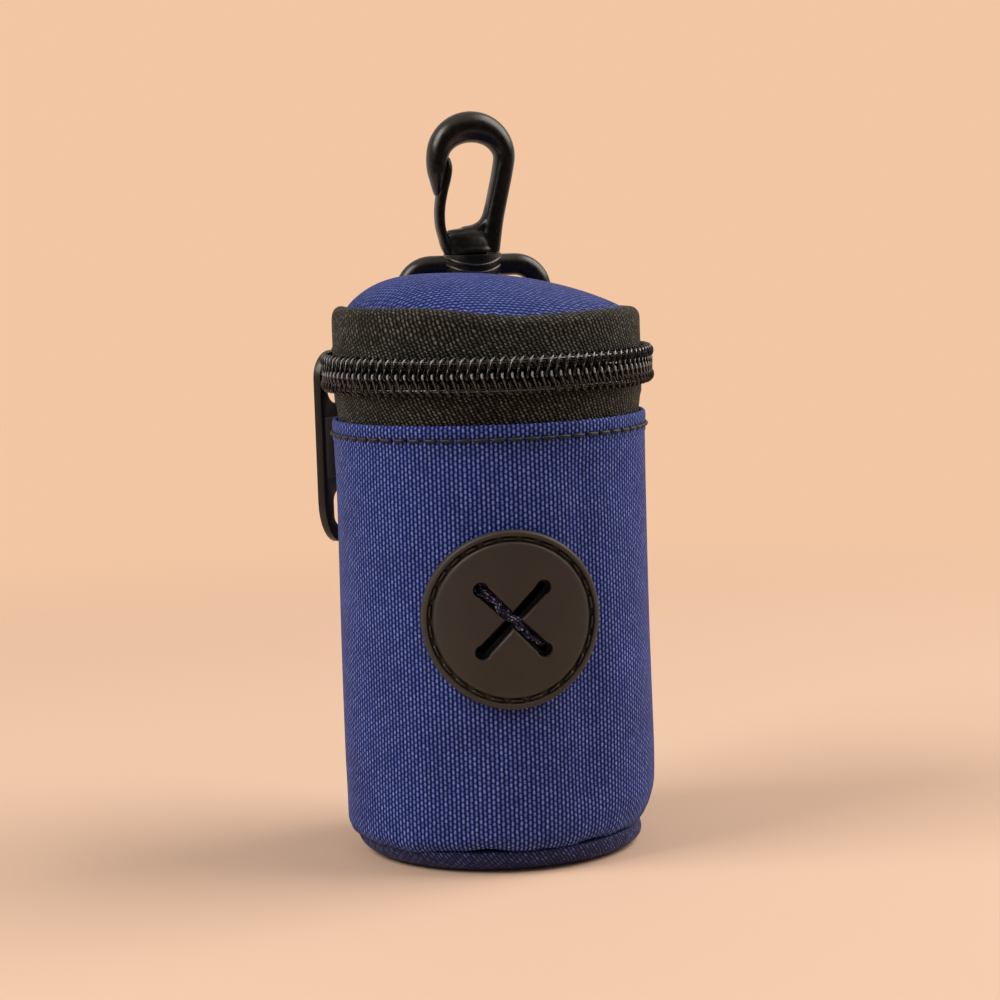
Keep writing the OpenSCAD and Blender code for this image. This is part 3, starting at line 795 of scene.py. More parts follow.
def lathe(
    name: str, profile: np.ndarray, start: float, end: float, count: int, shape: Shape, unroll: float = UNROLL
) -> Piece:
    """Turn a closed outline round the upright axis, whole or part of a turn.

    Args:
        name: Name of the piece.
        profile: Radius and height of the outline's points, the outer face rising.
        start: First angle in degrees.
        end: Last angle in degrees.
        count: Steps round the axis.
        shape: Function of angle, radius and height that gives offsets outwards and up.
        unroll: Radius at which the cloth map is laid out.

    Returns:
        The closed piece.
    """
    whole = end - start >= 359.9
    cols = count if whole else count + 1
    turn = np.radians(np.linspace(start, end, count + 1))
    closed = np.vstack([profile, profile[:1]])
    rows = len(profile)
    r, t = np.meshgrid(closed[:, 0], turn, indexing="ij")
    z = np.repeat(closed[:, 1:], count + 1, 1)
    out, up = shape(t, r, z)
    points = round_to_xyz(r + out, t, z + up)
    row, col = np.meshgrid(np.arange(rows), np.arange(count), indexing="ij")
    below, after = (row + 1) % rows, (col + 1) % cols
    quads = [row * cols + col, row * cols + after, below * cols + after, below * cols + col]
    faces = np.stack(quads, -1).reshape(-1, 4).tolist()
    u, v = np.meshgrid(turn * unroll, run_length(closed), indexing="xy")
    cloth = np.stack([u, v], -1)
    loops = [cloth[row, col], cloth[row, col + 1], cloth[row + 1, col + 1], cloth[row + 1, col]]
    loops = np.stack(loops, -2).reshape(-1, 2)
    if not whole:
        faces.append([i * cols for i in range(rows)])
        faces.append([i * cols + cols - 1 for i in range(rows)][::-1])
        loops = np.vstack([loops, cloth[:rows, 0], cloth[:rows, -1][::-1]])
    made = mesh_object(name, points[:rows, :cols].reshape(-1, 3), faces)
    layer = made.data.uv_layers.new(name="Cloth")
    layer.data.foreach_set("uv", loops.reshape(-1).astype(np.float32))
    return made


def outline(*corners: Corner, gap: float = 0.6) -> np.ndarray:
    """Fill an outline with evenly spaced points.

    Args:
        *corners: Radius and height of each corner.
        gap: Longest step between points.

    Returns:
        Points, without the first one again at the end.
    """
    points = []
    for a, b in zip(corners, corners[1:] + corners[:1]):
        steps = max(1, math.ceil(math.dist(a, b) / gap))
        points += [np.array(a) + (np.array(b) - np.array(a)) * k / steps for k in range(steps)]
    return np.array(points)


def stitches(
    name: str,
    points: np.ndarray,
    outward: np.ndarray,
    count: int,
    long: float,
    thick: float,
    finish: Material,
) -> Piece:
    """Lay a row of stitches along a line with a geometry node group.

    Args:
        name: Name of the piece.
        points: Points of the seam, in millimetres, closed when the ends meet.
        outward: Direction that faces away from the cloth at each point.
        count: Number of stitches.
        long: Length of one stitch in millimetres.
        thick: Thickness of the thread in millimetres.
        finish: Thread material.

    Returns:
        One mesh with every stitch.
    """
    spread = np.linspace(-1, 1, 7)
    arch = np.stack([spread * long / 2, np.zeros(7), thick * 0.55 * (1 - spread**4) - thick * 0.25], 1)
    verts, faces = tube(arch, thick / 2 * np.sqrt(np.clip(1.08 - spread**6, 0.05, 1)), 6)
    stitch = mesh_object(name + "_one", verts, faces)
    return repeat(name, stitch, points, outward, count, finish)


def repeat(
    name: str, one: Piece, points: np.ndarray, outward: np.ndarray, count: int, finish: Material
) -> Piece:
    """Set copies of a small mesh at even steps along a line, x along it and z away from the cloth.

    Args:
        name: Name of the piece.
        one: The small mesh; it is used up.
        points: Points of the line, in millimetres.
        outward: Direction away from the cloth at each point.
        count: Number of copies.
        finish: Material of the copies.

    Returns:
        One mesh with every copy.
    """
    guide = bpy.data.meshes.new(name + "_guide")
    guide.from_pydata((points * MM).tolist(), [(i, i + 1) for i in range(len(points) - 1)], [])
    facing = guide.attributes.new("outward", "FLOAT_VECTOR", "POINT")
    facing.data.foreach_set("vector", outward.reshape(-1).astype(np.float32))
    row = bpy.data.objects.new(name, guide)
    bpy.context.scene.collection.objects.link(row)

    tree = bpy.data.node_groups.new(name + "_row", "GeometryNodeTree")
    for label, kind in (
        ("Geometry", "NodeSocketGeometry"),
        ("Copy", "NodeSocketObject"),
        ("Count", "NodeSocketInt"),
        ("Finish", "NodeSocketMaterial"),
        ("Uneven", "NodeSocketFloat"),
        ("Seed", "NodeSocketInt"),
    ):
        tree.interface.new_socket(label, in_out="INPUT", socket_type=kind)
    tree.interface.new_socket("Geometry", in_out="OUTPUT", socket_type="NodeSocketGeometry")
    given = add(tree, "NodeGroupInput").outputs
    line = add(tree, "GeometryNodeMeshToCurve", {0: given["Geometry"]})
    even = add(tree, "GeometryNodeResampleCurve", {"Curve": line, "Count": given["Count"]})
    away = add(tree, "GeometryNodeInputNamedAttribute", {"Name": "outward"}, data_type="FLOAT_VECTOR")
    heading = add(tree, "GeometryNodeInputTangent")
    level = add(tree, "FunctionNodeAlignRotationToVector", {"Vector": heading}, axis="X")
    both = {"Rotation": level, "Vector": away}
    facing = add(tree, "FunctionNodeAlignRotationToVector", both, axis="Z", pivot_axis="X")
    sway = add(tree, "FunctionNodeRandomValue", {"Seed": given["Seed"]}, data_type="FLOAT")
    low = add(tree, MATH, {0: given["Uneven"], 1: -1.0}, operation="MULTIPLY")
    floats = [socket for socket in sway.inputs if socket.type == "VALUE"]
    tree.links.new(low.outputs[0], floats[0])
    tree.links.new(given["Uneven"], floats[1])
    chance = next(socket for socket in sway.outputs if socket.type == "VALUE")
    twist = add(tree, "ShaderNodeCombineXYZ", {"Z": chance})
    swayed = {"Rotation": facing, "Rotate By": twist}
    bent = add(tree, "FunctionNodeRotateRotation", swayed, rotation_space="LOCAL")
    copy = add(tree, "GeometryNodeObjectInfo", {"Object": given["Copy"]})
    each = {"Points": even, "Instance": copy.outputs["Geometry"], "Rotation": bent}
    placed = add(tree, "GeometryNodeInstanceOnPoints", each)
    real = add(tree, "GeometryNodeRealizeInstances", {0: placed})
    dressed = add(tree, "GeometryNodeSetMaterial", {"Geometry": real, "Material": given["Finish"]})
    add(tree, "NodeGroupOutput", {"Geometry": dressed})

    live = row.modifiers.new("row", "NODES")
    live.node_group = tree
    values = {"Copy": one, "Count": count, "Finish": finish, "Uneven": 0.06, "Seed": 7}
    for item in tree.interface.items_tree:
        if item.item_type == "SOCKET" and item.in_out == "INPUT" and item.name in values:
            live[item.identifier] = values[item.name]
    bake(row)
    discard(one)
    row.data.shade_smooth()
    return row


def ring_line(radius: float, height: float, start: float, end: float, count: int) -> Pair:
    """Give points and outward directions on a level arc.

    Args:
        radius: Radius of the arc in millimetres.
        height: Its height.
        start: First angle in degrees.
        end: Last angle in degrees.
        count: Number of points.

    Returns:
        The points, and a unit vector away from the upright axis at each of them.
    """
    turn = np.radians(np.linspace(start, end, count))
    points = round_to_xyz(np.full(count, radius), turn, np.full(count, height))
    return points, round_to_xyz(np.ones(count), turn, np.zeros(count))


def refined(node: str, name: str, soften: float, keep: float = 35.0) -> Piece:
    """Copy a frame node and round its edges.

    Args:
        node: Frame node.
        name: Name of the copy.
        soften: Width of the rounded edges in millimetres.
        keep: Edges flatter than this many degrees stay as they are.

    Returns:
        The copy.
    """
    source = frame["nodes"][node]
    made = bpy.data.objects.new(name, source.data.copy())
    bpy.context.scene.collection.objects.link(made)
    made.data.name = name
    with editing(made) as mesh:
        bmesh.ops.remove_doubles(mesh, verts=mesh.verts, dist=0.002 * MM)
        bmesh.ops.dissolve_limit(mesh, angle_limit=math.radians(1.0), verts=mesh.verts, edges=mesh.edges)
    for extra in ("custom_normal", "sharp_edge"):
        if extra in made.data.attributes:
            made.data.attributes.remove(made.data.attributes[extra])
    edge = made.modifiers.new("edge", "BEVEL")
    edge.width = soften * MM
    edge.segments = 3
    edge.limit_method = "ANGLE"
    edge.angle_limit = math.radians(keep)
    edge.use_clamp_overlap = True
    bake(made)
    crease(made, 42)
    return made


def dress(node: str, finish: Material) -> None:
    """Give a frame node that stays as it is a finish.

    Args:
        node: Frame node.
        finish: Its material.
    """
    data = frame["nodes"][node].data
    data.materials.clear()
    data.materials.append(finish)
    crease(frame["nodes"][node], 38)


# ---------------------------------------------------------------- pouch


@dataclass
class Pouch:
    """Cloth tube, its base, the slot patch and their stitches, with lengths in millimetres."""

    finishes: Finishes
    body: str = "pouch"
    columns: int = 464
    hem_stitches: int = 60
    patch_stitches: int = 26
    curl_r: float = 2.2
    slot_reach: float = 6.8
    slot_wide: float = 2.1
    slot_lip: float = 0.32
    cloth_slot_wide: float = 2.3
    groove_r: float = 12.5

    def tube_shape(self, turn: np.ndarray, r: np.ndarray, z: np.ndarray) -> Pair:
        """Give the handled look of the cloth tube.

        Args:
            turn: Angle in radians.
            r: Radius in millimetres.
            z: Height in millimetres.

        Returns:
            Offsets outwards and up.
        """
        waves = [(0.10, 2, 0.011, 0.6), (0.09, 5, 0.017, 2.1), (0.06, 9, -0.013, 4.0)]
        soft = ripple(turn, z, waves) * (1 - step(z, 60, 66)) * step(z, 6, 16)
        valley = -0.5 * bell(bearing(turn, 297), 8.0) * step(z, 6, 14) * (1 - step(z, 61, 66.5))
        right = bell(bearing(turn, 335), 44)
        tuck = -1.9 * right * np.clip((10.5 - z) / 6.5, 0, 1) ** 1.7
        gather = (0.5 + 0.5 * np.sin(turn * 34 + 1.3 * np.sin(turn * 5))) ** 2
        pull = -0.16 * gather * (1 - step(z, 4.0, 8.5))
        off_seam = z - (S.hem_top - S.seam_drop)
        seam = -0.16 * (0.5 + 0.5 * np.cos(turn * self.hem_stitches)) * bell(off_seam, 0.32)
        seam += -0.05 * bell(off_seam, 0.7)
        wall = np.where(r > 22.5, 1.0, 0.35)
        out = (soft + valley + tuck + pull + seam) * wall
        droop = 0.4 * np.sin(turn * 3 + 0.4) + 0.25 * np.sin(turn * 7 + 2.0) + 0.12 * np.sin(turn * 17)
        droop = np.maximum(droop + 0.55 * right - 0.45, -0.95)
        return np.minimum(out, 0.17), droop * (1 - step(z, 3.6, 9.0)) * np.where(r > 22.0, 1, 0.4)

    def cut_slots(self, piece: Piece, width: float, flare: float, near: float, far: float) -> None:
        """Cut the four arms of the X through a piece.

        Args:
            piece: Piece to cut.
            width: Width of an arm in millimetres.
            flare: How much wider the arm is at the outer face.
            near: Distance of the cutter's inner end from the axis.
            far: Distance of the flare's start from the axis.
        """
        levels = [(near, 0.0), (far, 0.0), (far + 0.16, flare * 0.25), (far + 0.42, flare)]
        levels.append((far + 3, flare + 1.2))
        verts = []
        for depth, extra in levels:
            half = width / 2 + extra
            punch, waist = half * 1.16, half * 0.84 * math.sqrt(2)
            ring = []
            for arm in (45, 135, 225, 315):
                lean = math.radians(arm)
                end = (self.slot_reach * math.cos(lean), self.slot_reach * math.sin(lean))
                crotch = lean + math.pi / 4
                ring += arc(end, punch, lean + np.linspace(-2.1, 2.1, 19))
                ring.append((waist * math.cos(crotch), waist * math.sin(crotch)))
            verts.append(np.array([(x, -depth, z + S.patch_z) for x, z in ring]))
        faces = sleeve(len(levels), len(verts[0]), inward=True)
        cutter = mesh_object("slot_cutter", np.concatenate(verts), faces)
        with editing(cutter) as mesh:
            bmesh.ops.recalc_face_normals(mesh, faces=mesh.faces)
        cut = piece.modifiers.new("slots", "BOOLEAN")
        cut.operation = "DIFFERENCE"
        cut.solver = "MANIFOLD"
        cut.object = cutter
        bake(piece)
        discard(cutter)

    def tube_cloth(self) -> None:
        """Make the cloth tube with its folded hem, curled foot, creases and slots."""
        r, top = S.pouch_r, S.hem_top
        hem = top - S.hem_high
        low = S.pan_top + 0.1
        bend = low + self.curl_r
        quarter = math.pi / 2
        curl = arc((r - self.curl_r, bend), self.curl_r, np.linspace(-quarter, 0, 9))
        back = arc((r - self.curl_r, bend), self.curl_r - S.cloth, np.linspace(0, -quarter, 7))
        rise = [(r, z) for z in np.linspace(bend + 0.8, hem - 0.4, 74)]
        band = [(r + 0.01, hem - 0.12), (r + 0.12, hem + 0.1), (r + 0.17, hem + 0.4), (r + 0.15, hem + 0.8)]
        band += [(r + 0.1, hem + 1.1), (r + 0.13, hem + 1.4), (r + 0.18, hem + 1.8), (r + 0.2, hem + 2.4)]
        band += [(r + 0.18, top - 0.45), (r + 0.1, top - 0.18), (r - 0.08, top - 0.03), (r - 0.3, top)]
        band += [(r - 0.5, top - 0.06), (r - S.cloth, top - 0.25), (r - S.cloth, hem)]
        inner = [(r - S.cloth, z) for z in np.linspace(hem - 2, bend + 1.9, 24)]
        outside = [(S.seam_r, low)] + curl + rise + band
        profile = np.array(outside + inner + back + [(S.seam_r, low + S.cloth)])
        piece = lathe("pouch_cloth", profile, 90, 450, self.columns, self.tube_shape)
        self.cut_slots(piece, self.cloth_slot_wide, 0.0, 22.0, 30.0)
        crease(piece, 60)
        settle(piece, self.finishes["oxford"], "navy_oxford", "body_shell", body=self.body)

    def base_cloth(self) -> None:
        """Make the bias-cut cloth pan under the tube."""
        foot, wide, top = S.foot_r, S.pan_r, S.pan_top
        ridge = top - 0.35
        quarter = np.linspace(0, math.pi / 2, 12)
        outer = [(foot + (wide - foot) * math.sin(a), ridge * (1 - math.cos(a))) for a in quarter]
        outer += [(wide - 0.1, top - 0.14), (wide - 0.4, top), (22.6, top), (21.6, top), (S.seam_r, top)]
        inner = [(S.seam_r, top - 0.6), (22.4, top - 0.6), (wide - 0.75, top - 0.75)]
        inner += [
            (foot + (wide - 0.6 - foot) * math.sin(a), top - 0.75 - (top - 1.35) * math.cos(a))
            for a in np.linspace(1.4, 0, 9)
        ]
        flat = [(r, 0.0) for r in (0.4, 5, 10, 15)]
        under = [(r, S.cloth) for r in (15, 10, 5, 0.4)]

        def shape(turn: np.ndarray, r: np.ndarray, z: np.ndarray) -> Pair:
            """Give the pan its gathered edge, drawn in on the right.

            Args:
                turn: Angle in radians.
                r: Radius in millimetres.
                z: Height in millimetres.

            Returns:
                Offsets outwards and up.
            """
            gather = (0.5 + 0.5 * np.sin(turn * 46 + 1.7 * np.sin(turn * 7))) ** 2
            edge = step(r, 20.5, 23.2) * step(z, 0.6, 3.6)
            return (-0.14 * gather - 1.25 * bell(bearing(turn, 345), 38)) * edge, 0.0 * z

        piece = lathe("base_cloth", np.array(flat + outer + inner + under), 90, 450, 256, shape, 21.0)
        crease(piece, 70)
        settle(piece, self.finishes["oxford_base"], "navy_oxford", "base_panel", body=self.body)

    def slot_patch(self) -> None:
        """Make the rubber patch: rounded rim, stitch groove, and an X of slots with softened lips."""
        deep, wide = S.patch_face - S.patch_back, S.patch_r
        rows = [(r, deep) for r in (0.0, 2.0, 4.0, 6.0, 8.0, 10.0, 11.3, 11.75)]
        rows += [(12.0, deep - 0.14), (12.08, deep - 0.5), (12.25, deep - 0.75), (12.7, deep - 0.75)]
        rows += [(12.9, deep - 0.5), (12.96, deep - 0.16), (13.05, deep - 0.04), (13.2, deep)]
        rows += [(13.5, deep - 0.05), (wide - 0.16, deep - 0.17), (wide - 0.03, deep - 0.45)]
        rows += [(wide, deep - 0.8), (wide, 0.3), (wide - 0.1, 0.0)]
        rows += [(r, 0.0) for r in (11.0, 7.0, 3.5, 0.0)]
        count = 144
        turn = np.linspace(0, 2 * math.pi, count, endpoint=False)
        verts, faces = [np.array([[0.0, 0.0, deep]])], []
        for radius, depth in rows[1:-1]:
            verts.append(np.stack([radius * np.cos(turn), radius * np.sin(turn), np.full(count, depth)], 1))
        verts.append(np.zeros((1, 3)))
        last = 1 + (len(rows) - 2) * count
        for k in range(count):
            faces.append([0, 1 + k, 1 + (k + 1) % count])
        for first in range(1, last - count, count):
            for k in range(count):
                here, after = first + k, first + (k + 1) % count
                faces.append([after, here, here + count, after + count])
        for k in range(count):
            faces.append([last - count + (k + 1) % count, last - count + k, last])
        flat = np.concatenate(verts)
        away = S.patch_back + flat[:, 2]
        points = np.stack([flat[:, 0], -np.sqrt(away**2 - flat[:, 0] ** 2), flat[:, 1] + S.patch_z], 1)
        piece = mesh_object("slot_patch_rubber", points, faces)
        with editing(piece) as mesh:
            bmesh.ops.recalc_face_normals(mesh, faces=mesh.faces)
        self.cut_slots(piece, self.slot_wide, self.slot_lip, 22.0, 26.1)
        crease(piece, 50)
        settle(piece, self.finishes["rubber"], "patch_rubber", "slot_patch", body=self.body)

    def slot_edge(self) -> None:
        """Make the crumpled raw edge of the cloth that shows inside one arm of the X."""
        along, across = np.meshgrid(np.linspace(-7.4, 6.6, 60), np.linspace(-0.62, 0.62, 9), indexing="ij")
        wander = 0.16 * np.sin(along * 1.3 + 0.5) + 0.1 * np.sin(along * 3.1)
        lean = across * (1 - 0.35 * step(along, 1.0, 6.0)) + wander
        whole = 1 - step(np.abs(along + 0.4), 5.6, 7.0)
        folds = 0.2 * np.sin(along * 4.3 + across * 2.0) + 0.16 * np.sin(along * 7.9 - across * 5.0 + 1.0)
        proud = 25.1 + (0.35 + folds) * np.cos(across * 2.3) * whole - 0.9 * (1 - whole)
        tilt = math.sqrt(0.5)
        x, z = (along + lean) * tilt, (lean - along) * tilt + S.patch_z
        points = np.stack([x, -np.sqrt(np.maximum(proud**2 - x**2, 0.0)), z], -1)
        piece = grid_object("slot_edge_cloth", points[:, ::-1], np.stack([across, along], -1)[:, ::-1])
        thicken(piece, 0.35)
        crease(piece, 60)
        settle(piece, self.finishes["oxford_inside"], "navy_oxford", body=self.body)

    def sewn(self) -> None:
        """Sew the hem and the patch."""
        line, away = ring_line(S.pouch_r + 0.1, S.hem_top - S.seam_drop, 92, 448, 361)
        thread = self.finishes["navy_thread"]
        hem = stitches("hem_stitches", line, away, self.hem_stitches, 2.4, 0.62, thread)
        settle(hem, thread, "navy_oxford", body=self.body)
        turn = np.radians(np.linspace(0, 360, 181) + 8)
        x, z = self.groove_r * np.cos(turn), self.groove_r * np.sin(turn)
        floor = S.patch_face - 0.6
        points = np.stack([x, -np.sqrt(floor**2 - x**2), z + S.patch_z], 1)
        out = np.stack([x / floor, -np.sqrt(1 - (x / floor) ** 2), np.zeros_like(x)], 1)
        thread = self.finishes["olive_thread"]
        row = stitches("patch_stitches", points, out, self.patch_stitches + 1, 2.3, 0.5, thread)
        settle(row, thread, "patch_rubber", body=self.body)

    def build(self) -> None:
        """Build every piece of the pouch."""
        self.tube_cloth()
        self.base_cloth()
        self.slot_patch()
        self.slot_edge()
        self.sewn()
        dress("body_foam", self.finishes["foam"])
        dress("base_board", self.finishes["board"])
        dress("body_lining", self.finishes["lining"])
        dress("base_lining", self.finishes["lining_flat"])
        dress("base_binding", self.finishes["binding"])


# ---------------------------------------------------------------- zip


@dataclass
class Zip:
    """Closed coil zip round the pouch: two tapes, two interlocked coils and the thread that sews them on.

    Its lengths are in millimetres, and coils_from and coils_to are angles in degrees.
    """

    finishes: Finishes
    teeth: int = 81
    coils_from: float = 138.5
    coils_to: float = 408.3
    wire: float = 0.21
    head: float = 0.74
    turn_sides: int = 5
    tape_thick: float = 0.5
    tape_edge: float = 0.9
    cord_r: float = 0.36
    rim_bend: float = 1.7

    @property
    def pitch(self) -> float:
        """Angle from one turn of a coil to the next, in degrees."""
        return (self.coils_to - self.coils_from) / (self.teeth - 0.5)

    def tape(self, name: str, node: str, profile: np.ndarray, body: str) -> Piece:
        """Make one knitted tape.

        Args:
            name: Name of the piece.
            node: Frame node that it stands for.
            profile: Its closed outline.
            body: Body it rides on, or nothing.

        Returns:
            The tape.
        """

        def shape(turn: np.ndarray, r: np.ndarray, z: np.ndarray) -> Pair:
            """Give the tape a limp face, and draw its top up with the lid's seam.

            Args:
                turn: Angle in radians.
                r: Radius in millimetres.
                z: Height in millimetres.

            Returns:
                Offsets outwards and up.
            """
            soft = ripple(turn, z, [(0.05, 7, 0.05, 0.4), (0.04, 17, -0.03, 1.9), (0.03, 31, 0.08, 3.0)])
            free = step(np.abs(z - S.zip_z), 3.1, 4.2)
            drawn = (lid_rise(turn) + 0.25 * step(r, 22.5, 23.5)) * step(z, S.lid_z - 4.0, S.lid_z - 0.3)
            return np.minimum(soft * free, 0.0) - 0.04 * free, drawn

        piece = lathe(name, profile, S.zip_from, S.zip_to, 420, shape)
        crease(piece, 65)
        return settle(piece, self.finishes["tape"], "black_tape", node, body=body)

    def coil_turn(self, side: int) -> np.ndarray:
        """Bend one flattened, leaning turn of monofilament.

        Args:
            side: 1 for the lower coil, -1 for the upper one.

        Returns:
            Points along the chain, up and outwards, in millimetres from the chain's middle.
        """
        half = (S.coil_out - S.coil_in) / 2 - self.wire - 0.02
        low, high = -S.coil_half + self.wire + 0.02, self.head - self.wire
        slant, late_turn = (1.15, 1.8) if side < 0 else (1.25, 1.2)
        path = []
        for a in np.linspace(0, 2 * math.pi, 25):
            centre = high - half if math.sin(a) > 0 else low + half
            up, out = centre + half * math.sin(a), half * math.cos(a)
            away = (high - up) / (high - low)
            bow, dip = slant * away, 0.0
            if out > 0:
                late = max(0.0, (away - 0.42) / 0.58)
                bow = slant * late**late_turn - 0.12 * math.sin(math.pi * min(away / 0.7, 1.0))
                dip = 0.2 * math.sin(math.pi * away)
            path.append((bow - 0.1, side * up, out - dip))
        return np.array(path)

    def coil(self, name: str, node: str, side: int, phase: float, body: str) -> Piece:
        """Make one coil of the chain, with the cord that runs through its turns.

        Args:
            name: Name of the piece.
            node: Frame node that it stands for.
            side: 1 for the lower coil, -1 for the upper one.
            phase: Share of a pitch by which it is shifted.
            body: Body it rides on, or nothing.

        Returns:
            The coil.
        """
        mid = (S.coil_in + S.coil_out) / 2
        path = self.coil_turn(side)
        swell = 0.85 + 0.4 * bell(side * path[:, 1] - (self.head - self.wire), 0.5)
        one = mesh_object(name + "_turn", *tube(path, self.wire * swell, self.turn_sides))
        first = self.coils_from + phase * self.pitch
        line, away = ring_line(mid, S.zip_z, first, first + (self.teeth - 1) * self.pitch, 541)
        finish = self.finishes["lower_coil" if side > 0 else "upper_coil"]
        row = repeat(name, one, line, away, self.teeth, finish)
        level = S.zip_z - side * (S.coil_half - 0.95)
        core, _ = ring_line(mid, level, self.coils_from - 0.5, self.coils_to + 0.8, 240)
        self.join(row, mesh_object(name + "_cord", *tube(core, [self.cord_r] * len(core), 8)))
        return settle(row, finish, "zip_coil", node, body=body)

    @staticmethod
    def join(row: Piece, cord: Piece) -> None:
        """Join the core cord to its turns.

        Args:
            row: The turns, which take the cord in.
            cord: The cord; it is used up.
        """
        with editing(row) as mesh:
            mesh.from_mesh(cord.data)
        discard(cord)
        row.data.shade_smooth()

    def sewing(self, name: str, side: int, body: str) -> Piece:
        """Make the thread that loops over each turn's root and sews the coil to its tape.

        Args:
            name: Name of the piece.
            side: 1 for the lower coil, -1 for the upper one.
            body: Body it rides on, or nothing.

        Returns:
            The thread.
        """
        spread = np.linspace(0, math.pi, 8)
        rise, run = np.sin(spread), np.cos(spread)
        arch = np.stack([0.3 * rise - 0.1, side * run * 0.78, 0.52 * rise - 0.3], 1)
        one = mesh_object(name + "_one", *tube(arch, [0.15] * len(arch), 5))
        first = self.coils_from + 0.5 * self.pitch
        level = S.zip_z - side * (S.coil_half - 1.2)
        line, away = ring_line(S.coil_out - 0.3, level, first, first + (self.teeth - 2) * self.pitch, 541)
        row = repeat(name, one, line, away, self.teeth - 1, self.finishes["tape_thread"])
        return settle(row, self.finishes["tape_thread"], "black_tape", body=body)

    def build(self) -> None:
        """Build both sides of the zip."""
        r, mid, top = S.tape_r, S.zip_z, S.hem_top
        edge, thick, bend = self.tape_edge, self.tape_thick, self.rim_bend
        low_r = S.pouch_r - S.tuck
        foot = [(low_r - thick, top - 6), (low_r, top - 6), (low_r, top + 0.4), (r - 0.25, top + 2.2)]
        face = [(r, top + 3.1), (r, mid - edge), (r - thick, mid - edge), (r - thick, top + 3.1)]
        lower = outline(*foot, *face, (low_r - thick, top + 0.4))
        self.tape("lower_tape_knit", "lower_tape", lower, "pouch")
        centre = (r - bend, S.lid_z - bend)
        rim = [(r - 2.1, S.lid_z + 0.06), (r - 2.6, S.lid_z - 0.02), (r - 2.6, S.lid_z - thick)]
        outer = arc(centre, bend, np.radians(np.linspace(0, 90, 11))) + rim
        inner = arc(centre, bend - thick, np.radians(np.linspace(90, 0, 8)))
        upper = outline((r, mid + edge), *outer, *inner, (r - thick, mid + edge))
        tape = self.tape("upper_tape_knit", "upper_tape", upper, "")
        self.coil("lower_coil_filament", "lower_coil", 1, 0.0, "pouch")
        coil = self.coil("upper_coil_filament", "upper_coil", -1, 0.5, "")
        thread = self.sewing("upper_coil_sewing", -1, "")
        self.sewing("lower_coil_sewing", 1, "pouch")
        for piece in (tape, coil, thread):
            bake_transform(piece)


# ---------------------------------------------------------------- lid


